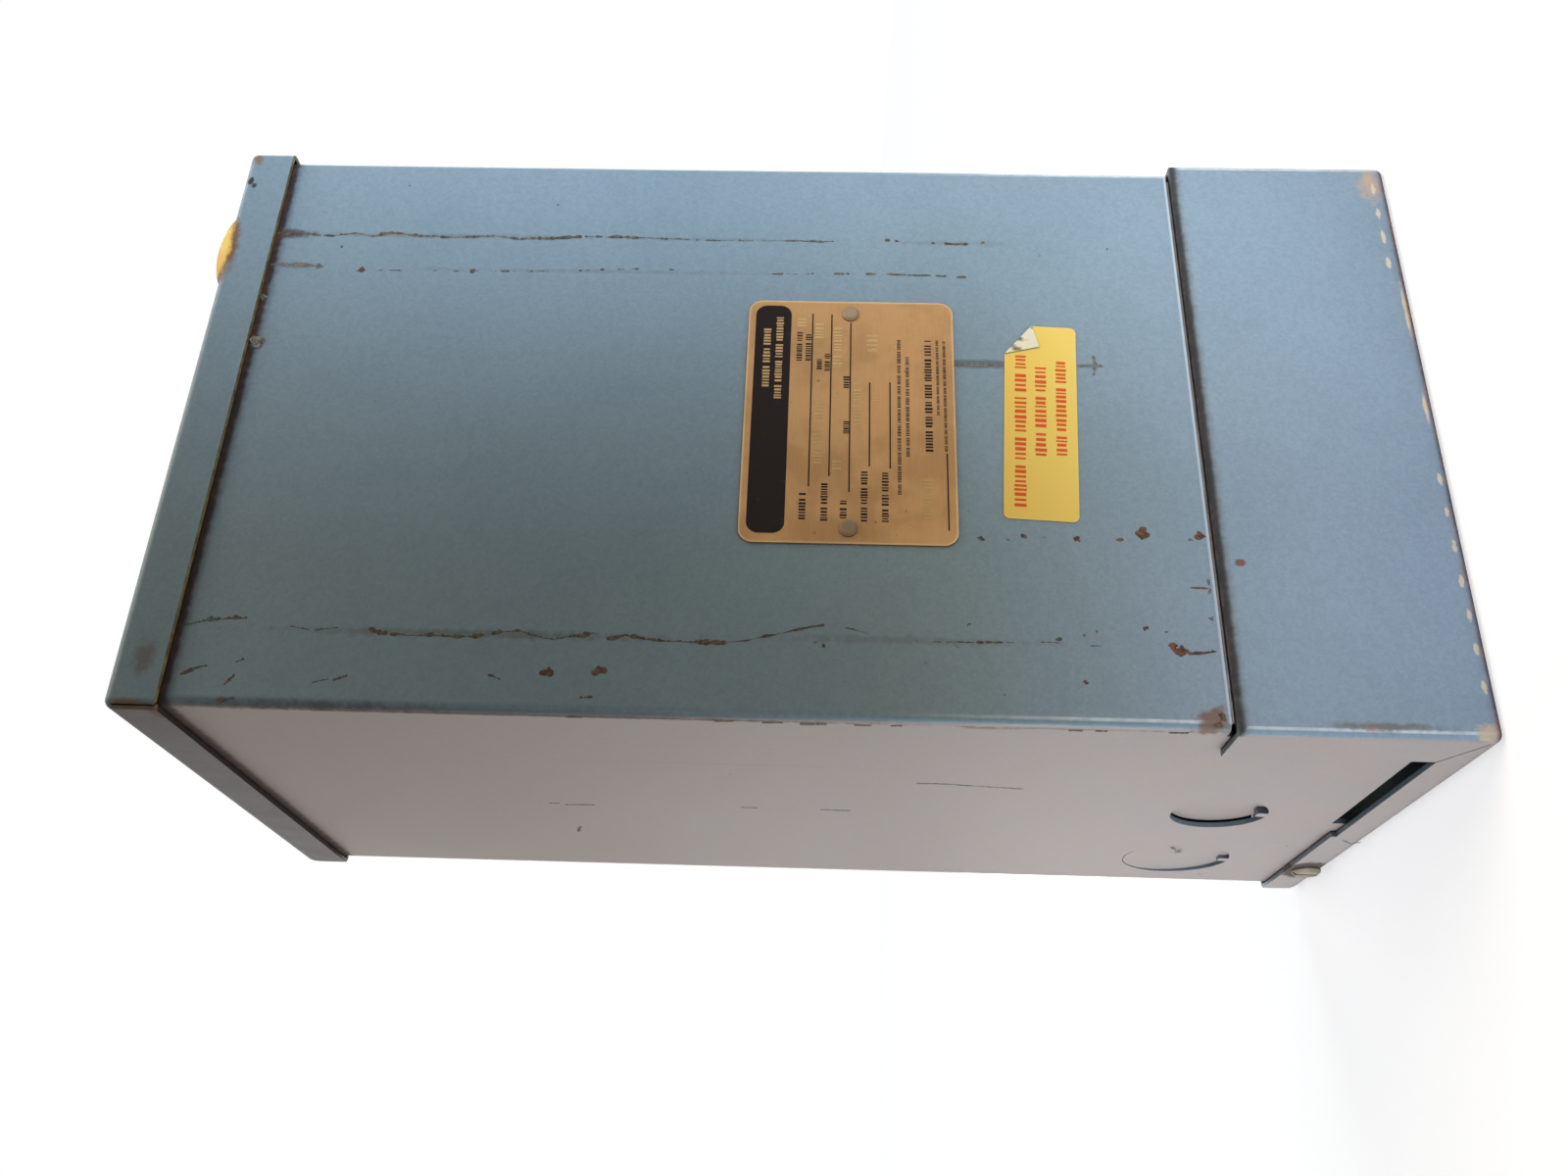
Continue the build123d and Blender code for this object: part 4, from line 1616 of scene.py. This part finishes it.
    def build(self) -> None:
        """Make every set of marks."""
        self._lines("upper_scrapes", self.upper, "dark_scrape", 11)
        self._lines("lower_scrapes", self.lower, "brown_scrape", 23)
        self._lines("rub_marks", self.faint, "faint_scrape", 31)
        self._lines("paint_ticks", self.chips, "brown_scrape", 37)
        self._lines("side_scratches", self.side, "faint_scrape", 53)
        self._lines("bend_chips", self.bend, "brown_scrape", 71)
        self._spots("rust_chips", self.rust, "rust_spots", 41)
        self._spots("dark_chips", self.specks, "dark_scrape", 43)

    def _lines(self, name: str, trails: tuple[Trail, ...], finish: str, seed: int) -> None:
        """Grow one piece from several lines.

        Args:
            name: The piece's name.
            trails: Its lines.
            finish: Its finish.
            seed: The random seed.
        """
        parts = []
        for number, trail in enumerate(trails):
            line = [trail.face.put(along, z) for along, z in trail.points]
            settings = {
                "Spacing": trail.spacing * MM,
                "Wander": trail.face.spread(trail.wander, 0.0, self.WANDER_UP * trail.wander),
                "Wander Scale": self.WANDER_SCALE,
                "Gap": trail.gap,
                "Gap Scale": trail.gap_scale,
                "Bead": trail.face.spread(trail.width, self.BEAD_OUT, self.BEAD_UP),
                "Seed": seed + number,
                "Finish": self.finishes[finish],
            }
            parts.append(self.trails.grow(line, settings))
        add_piece(name, joined(parts))

    def _spots(self, name: str, spots: tuple[Spot, ...], finish: str, seed: int) -> None:
        """Grow one piece from many ragged spots.

        Args:
            name: The piece's name.
            spots: Its spots.
            finish: Its finish.
            seed: The random seed.
        """
        draw = random.Random(seed)
        parts = []
        for number, spot in enumerate(spots):
            line = [Face.FRONT.put(spot.x, spot.z)]
            for _ in range(self.SPOT_POINTS):
                reach = self.SPOT_REACH + self.SPOT_SPREAD * draw.random()
                angle = draw.uniform(0, 2 * math.pi)
                x = spot.x + reach * spot.half_x * math.cos(angle)
                z = spot.z + reach * spot.half_z * math.sin(angle)
                line.append(Face.FRONT.put(x, z))
            bead = min(spot.half_x, spot.half_z) * self.SPOT_BEAD
            settings = self.SPOT_SETTINGS | {
                "Bead": metres((bead, self.SPOT_OUT, bead)),
                "Seed": seed + number,
                "Finish": self.finishes[finish],
            }
            parts.append(self.trails.grow(line, settings))
        add_piece(name, joined(parts))


@dataclass(frozen=True)
class Bar:
    """One printed bar on a flat piece: its two ends and its level, in millimetres."""

    start: float
    end: float
    level: float
    height: float = 0.4


@dataclass(frozen=True)
class Nameplate:
    """What is printed on the riveted plate: a dark band, rules and rows of plain ticks."""

    finishes: Finishes
    bars: BarGroup
    face_y: float = -78.7
    proud: float = 0.03
    band: tuple[float, float, float, float] = (-39.0, 37.6, 181.9, 192.4)
    band_corner: float = 3.4
    rules: tuple[Bar, ...] = (
        Bar(-24.2, 34.9, 175.6), Bar(-20.8, 34.7, 170.0), Bar(-25.7, 31.7, 164.4),
        Bar(-17.4, 10.7, 158.8), Bar(-17.9, 10.9, 153.0), Bar(-37.2, -12.7, 137.1),
    )
    captions: tuple[Bar, ...] = (
        Bar(-34.6, -25.8, 177.2, 2.0), Bar(-34.9, -22.6, 171.2, 2.0), Bar(-34.0, -27.8, 165.9, 2.0),
        Bar(-34.9, -18.5, 160.2, 2.0), Bar(-34.9, -19.3, 154.4, 2.0), Bar(17.9, 28.2, 179.3, 1.8),
        Bar(18.0, 27.3, 176.7, 1.8), Bar(15.0, 19.0, 173.4, 1.7), Bar(14.5, 20.9, 171.1, 1.7),
        Bar(8.7, 12.8, 165.5, 1.8), Bar(-6.7, -1.9, 165.4, 1.8), Bar(-12.2, 26.0, 142.0, 2.2),
    )
    small: tuple[Bar, ...] = (
        Bar(-26.2, 26.5, 150.4, 1.1), Bar(-14.0, 20.0, 148.0, 1.1),
        Bar(0.0, 25.8, 139.3, 0.8), Bar(-12.1, 25.8, 137.3, 0.9),
    )
    stamped: tuple[Bar, ...] = (
        Bar(30.0, 33.0, 178.8, 2.6), Bar(26.0, 32.6, 173.6, 2.6), Bar(15.9, 30.8, 168.2, 2.6),
        Bar(21.6, 27.7, 158.1, 3.4), Bar(-16.7, 5.4, 173.3, 2.6), Bar(5.6, 7.6, 168.1, 2.6),
        Bar(-18.6, -14.6, 167.9, 2.6), Bar(-4.0, 10.6, 162.3, 2.6), Bar(4.4, 6.4, 157.0, 2.2),
        Bar(-33.8, -20.7, 142.6, 2.6),
    )
    on_band: tuple[Bar, ...] = (Bar(8.7, 29.4, 188.8, 2.2), Bar(4.7, 33.3, 185.2, 2.2))

    def build(self) -> None:
        """Print the band, the rules and the ticks."""
        mesh = slab(rounded_outline(self.band, self.band_corner), self.face_y, self.proud)
        mesh.materials.append(self.finishes["plate_ink"])
        add_piece("nameplate_band", mesh)
        rules = [self._bar(bar, self.proud) for bar in self.rules]
        add_piece("nameplate_rules", self.bars.print(rules, self.finishes["plate_ink"]))
        self._print("nameplate_print", self.captions + self.small, "plate_ink", self.proud)
        self._print("nameplate_stamping", self.stamped, "plate_light", self.proud)
        self._print("nameplate_band_print", self.on_band, "plate_light", 2 * self.proud)

    def _print(self, name: str, rows: tuple[Bar, ...], finish: str, proud: float) -> None:
        """Print rows of ticks as one piece.

        Args:
            name: The piece's name.
            rows: The rows.
            finish: Their finish.
            proud: How far the ticks stand out of the plate, in millimetres.
        """
        made = [
            self._bar(tick, proud) for number, row in enumerate(rows) for tick in ticks(row, number)
        ]
        add_piece(name, self.bars.print(made, self.finishes[finish]))

    def _bar(self, bar: Bar, proud: float) -> tuple[Point, Point]:
        """Place one bar on the plate.

        Args:
            bar: The bar.
            proud: How far it stands out, in millimetres.

        Returns:
            Its centre and size in metres.
        """
        centre = ((bar.start + bar.end) / 2, self.face_y, bar.level)
        return metres(centre), metres((bar.end - bar.start, 2 * proud, bar.height))


@dataclass(frozen=True)
class TickStyle:
    """How a row is filled with ticks. Lengths are shares of the row's height."""

    width: Range = (0.16, 0.34)
    height: Range = (0.82, 1.0)
    gap: Range = (0.14, 0.26)
    group_gap: float = 0.6
    least: float = 0.2
    first_group: tuple[int, int] = (4, 9)
    group: tuple[int, int] = (4, 11)


def ticks(row: Bar, seed: int, style: TickStyle = TickStyle()) -> list[Bar]:
    """Fill a row with upright ticks of uneven width, in groups.

    Args:
        row: The row's ends, level and height.
        seed: The random seed.
        style: How the ticks are spread.

    Returns:
        The ticks.
    """
    draw = random.Random(seed)
    size = row.height
    made = []
    at = row.start
    left = draw.randint(*style.first_group)
    while at < row.end - style.least * size:
        stop = min(row.end, at + size * draw.uniform(*style.width))
        made.append(Bar(at, stop, row.level, draw.uniform(*style.height) * size))
        left -= 1
        at = stop + size * (draw.uniform(*style.gap) if left else style.group_gap)
        left = left or draw.randint(*style.group)
    return made


def rounded_outline(
    sides: tuple[float, float, float, float], corner: float, steps: int = 8
) -> list[tuple[float, float]]:
    """Outline a rectangle with round corners.

    Args:
        sides: Left, right, lower and upper side.
        corner: The corners' radius.
        steps: How many edges each corner has.

    Returns:
        Points in order round it.
    """
    left, right, low, high = sides
    centres = (
        (right - corner, high - corner, 0),
        (left + corner, high - corner, 90),
        (left + corner, low + corner, 180),
        (right - corner, low + corner, 270),
    )
    points = []
    for x, z, first in centres:
        for step in range(steps + 1):
            angle = math.radians(first + step * 90 / steps)
            points.append((x + corner * math.cos(angle), z + corner * math.sin(angle)))
    return points


def slab(outline: list[tuple[float, float]], level: float, proud: float) -> bpy.types.Mesh:
    """Make a thin closed slab on the front.

    Args:
        outline: Its outline in X and Z, in millimetres.
        level: The Y of what it lies on.
        proud: How far it stands out, and how far it reaches in.

    Returns:
        The mesh, in metres.
    """
    shape = bmesh.new()
    front = [shape.verts.new(metres((x, level - proud, z))) for x, z in outline]
    rear = [shape.verts.new(metres((x, level + proud, z))) for x, z in outline]
    shape.faces.new(front)
    shape.faces.new(list(reversed(rear)))
    for here in range(len(outline)):
        after = (here + 1) % len(outline)
        shape.faces.new((front[here], rear[here], rear[after], front[after]))
    bmesh.ops.recalc_face_normals(shape, faces=shape.faces)
    mesh = bpy.data.meshes.new("slab")
    shape.to_mesh(mesh)
    shape.free()
    return mesh


@dataclass(frozen=True)
class RatingLabel:
    """What is printed on the paper label: three rows of plain ticks, tilted with it."""

    finishes: Finishes
    bars: BarGroup
    face_y: float = -78.35
    proud: float = 0.02
    centre: tuple[float, float] = (-0.7, 110.4)
    tilt: float = -2.6
    rows: tuple[Bar, ...] = (
        Bar(-28.6, 25.2, 5.7, 3.4), Bar(-11.9, 20.6, 0.0, 3.3), Bar(-11.4, 20.4, -5.8, 3.1),
    )
    seed: int = 20

    def build(self) -> None:
        """Print the rows and tilt them with the label."""
        made = []
        for number, row in enumerate(self.rows):
            for tick in ticks(row, self.seed + number):
                centre = metres(((tick.start + tick.end) / 2, 0.0, tick.level))
                size = metres((tick.end - tick.start, 2 * self.proud, tick.height))
                made.append((centre, size))
        mesh = self.bars.print(made, self.finishes["label_ink"])
        x, z = self.centre
        turn = Matrix.Rotation(math.radians(-self.tilt), 4, "Y")
        mesh.transform(Matrix.Translation(metres((x, self.face_y, z))) @ turn)
        add_piece("label_print", mesh)


@dataclass(frozen=True)
class TackWelds:
    """Two small weld beads in the gap under the cap's front flange, in millimetres."""

    finishes: Finishes
    beads: tuple[Point, ...] = ((21.8, 339.6, 2.3), (38.0, 341.2, 1.2))
    thickness: float = 0.8
    sunk: float = 0.1
    lump_x: float = 0.16
    lump_z: float = 0.12
    waves_x: float = 5.0
    waves_z: float = 6.0
    unevenness: float = 0.03
    seed: int = 7

    def build(self) -> None:
        """Shape the beads as lumpy drops, each from its X, its height and its radius."""
        draw = random.Random(self.seed)
        whole = bmesh.new()
        for x, z, radius in self.beads:
            bead = bmesh.ops.create_icosphere(whole, subdivisions=3, radius=1.0)
            size = Vector((radius, self.thickness, radius))
            place = Vector((x, Face.FRONT.value - self.sunk, z))
            for vertex in bead["verts"]:
                lump = 1 + self.lump_x * math.sin(self.waves_x * vertex.co.x + z)
                lump += self.lump_z * math.cos(self.waves_z * vertex.co.z + x)
                grown = vertex.co * lump * (1 + draw.uniform(-self.unevenness, self.unevenness))
                vertex.co = (Vector(a * b for a, b in zip(grown, size)) + place) * MM
        bmesh.ops.recalc_face_normals(whole, faces=whole.faces)
        for face in whole.faces:
            face.smooth = True
        mesh = bpy.data.meshes.new("tack_welds")
        whole.to_mesh(mesh)
        whole.free()
        mesh.materials.append(self.finishes["weld_bead"])
        add_piece("cap_tack_welds", mesh)


# Studio


@dataclass(frozen=True)
class Lamp:
    """One soft area lamp, in metres and watts, its spread in degrees."""

    name: str
    place: Point
    aim: Point
    size: tuple[float, float]
    power: float
    colour: Colour
    spread: float = 180.0


COOL = (0.79, 0.87, 1.0)
COVER_COOL = (0.68, 0.70, 1.0)
PALE = (0.80, 0.94, 1.0)
SOFT = (1.0, 0.90, 0.70)
NEUTRAL = (1.0, 0.99, 0.97)
WARM = (1.0, 0.76, 0.64)
LAMP_GLOW = (1.0, 0.90, 0.55)


@dataclass(frozen=True)
class Studio:
    """The pale floor, the lamps, the world and the camera."""

    lamps: tuple[Lamp, ...] = (
        Lamp("strip", (0.12, -0.60, 0.22), (0.12, -0.08, 0.22), (0.14, 0.36), 0.198, COOL, 28.0),
        Lamp("low", (0.02, -0.58, 0.05), (0.02, -0.08, 0.05), (0.30, 0.10), 0.054, LAMP_GLOW, 40.0),
        Lamp("top", (0.25, -0.25, 0.90), (0.03, 0.0, 0.35), (0.5, 0.5), 3.5, SOFT),
        Lamp("side", (-0.80, 0.36, 0.10), (-0.09, 0.0, 0.09), (0.6, 0.3), 0.6, WARM),
        Lamp("low_side", (-0.60, 0.10, 0.03), (-0.09, 0.0, 0.02), (0.4, 0.06), 0.33, PALE, 60.0),
        Lamp(
            "cover", (-0.02, -0.55, 0.02), (-0.02, -0.08, 0.02), (0.28, 0.04), 0.071,
            COVER_COOL, 30.0,
        ),
        Lamp("right", (0.90, 0.20, 0.45), (0.09, 0.0, 0.17), (0.6, 0.6), 4.0, NEUTRAL),
        Lamp("rear", (0.10, 1.0, 0.5), (0.0, 0.08, 0.16), (0.8, 0.8), 5.5, NEUTRAL),
    )
    world_strength: float = 0.05
    world_tint: Colour = (1.0, 0.86, 0.62)
    floor_size: float = 6.0
    floor_tone: Colour = (0.80, 0.80, 0.80)
    shadow_reach: float = 0.22
    clear_reach: float = 0.60
    near_glow: Colour = (0.62, 0.63, 0.65)
    far_glow: Colour = (0.945, 0.955, 0.985)
    camera_place: Point = (-0.20919, -0.39495, 0.17164)
    camera_right: Point = (0.032002, 0.015083, -0.999374)
    camera_down: Point = (-0.898977, 0.437435, -0.022185)
    focal_pixels: float = 1349.1
    picture_width: int = 1600
    sensor: float = 36.0
    clip_start: float = 0.01

    def build(self) -> None:
        """Make everything round the object."""
        self._world()
        self._floor()
        for lamp in self.lamps:
            self._lamp(lamp)
        self._camera()
        bpy.context.scene.view_settings.view_transform = "Standard"

    def _world(self) -> None:
        """Light evenly, and show white to the camera, in glossy surfaces and through glass."""
        world = bpy.data.worlds.new("studio")
        world.use_nodes = True
        bpy.context.scene.world = world
        g = Graph(world.node_tree)
        background = world.node_tree.nodes["Background"]
        path = g.node("ShaderNodeLightPath").outputs
        seen = g.math("ADD", path["Is Camera Ray"], path["Is Glossy Ray"], True)
        seen = g.math("ADD", seen, path["Is Transmission Ray"], True)
        g.feed(background.inputs["Color"], g.mix(seen, self.world_tint, WHITE))
        g.feed(background.inputs["Strength"], g.blend(seen, self.world_strength, 1.0))

    def _floor(self) -> None:
        """Lay a white floor that keeps the object's shadow."""
        half = self.floor_size / 2
        mesh = bpy.data.meshes.new("floor")
        corners = [(-half, -half, 0), (half, -half, 0), (half, half, 0), (-half, half, 0)]
        mesh.from_pydata(corners, [], [(0, 1, 2, 3)])
        material, g, shader = new_material("floor_white")
        path = g.node("ShaderNodeLightPath").outputs
        seen = g.math("ADD", path["Is Camera Ray"], path["Is Glossy Ray"], True)
        far = g.ramp(g.vector("LENGTH", g.place()), self.shadow_reach, self.clear_reach)
        values = {
            "Base Color": self.floor_tone,
            "Roughness": 1.0,
            "Specular IOR Level": 0.0,
            "Emission Color": g.mix(far, self.near_glow, self.far_glow),
            "Emission Strength": seen,
        }
        for name, value in values.items():
            g.feed(shader.inputs[name], value)
        mesh.materials.append(material)
        floor = bpy.data.objects.new("floor", mesh)
        bpy.context.scene.collection.objects.link(floor)

    @staticmethod
    def _lamp(lamp: Lamp) -> None:
        """Hang one lamp.

        Args:
            lamp: Its place, aim, size, power, colour and spread.
        """
        data = bpy.data.lights.new(lamp.name, "AREA")
        data.shape = "RECTANGLE"
        data.size, data.size_y = lamp.size
        data.energy = lamp.power
        data.spread = math.radians(lamp.spread)
        data.color = lamp.colour
        made = bpy.data.objects.new(lamp.name, data)
        made.location = lamp.place
        ahead = Vector(lamp.aim) - Vector(lamp.place)
        made.rotation_euler = ahead.to_track_quat("-Z", "Y").to_euler()
        made.visible_camera = False
        bpy.context.scene.collection.objects.link(made)

    def _camera(self) -> None:
        """Set the camera at the photograph's viewpoint."""
        data = bpy.data.cameras.new("camera")
        data.sensor_width = self.sensor
        data.lens = self.focal_pixels / self.picture_width * self.sensor
        data.clip_start = self.clip_start
        right = Vector(self.camera_right).normalized()
        up = -Vector(self.camera_down).normalized()
        back = right.cross(up).normalized()
        up = back.cross(right)
        turn = Matrix((right, up, back)).transposed().to_4x4()
        camera = bpy.data.objects.new("camera", data)
        camera.matrix_world = Matrix.Translation(self.camera_place) @ turn
        bpy.context.scene.collection.objects.link(camera)
        bpy.context.scene.camera = camera


def main() -> None:
    """Dress the transformer and build the studio round it."""
    logging.basicConfig(level=logging.INFO, format="%(name)s: %(message)s")
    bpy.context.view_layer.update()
    kit = ShaderKit()
    finishes = Finishes(kit)
    trails = TrailGroup()
    bars = BarGroup()
    Housing(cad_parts, finishes).dress()
    WearMarks(finishes, trails).build()
    Nameplate(finishes, bars).build()
    RatingLabel(finishes, bars).build()
    TackWelds(finishes).build()
    Studio().build()


if __name__ == "__main__":
    main()
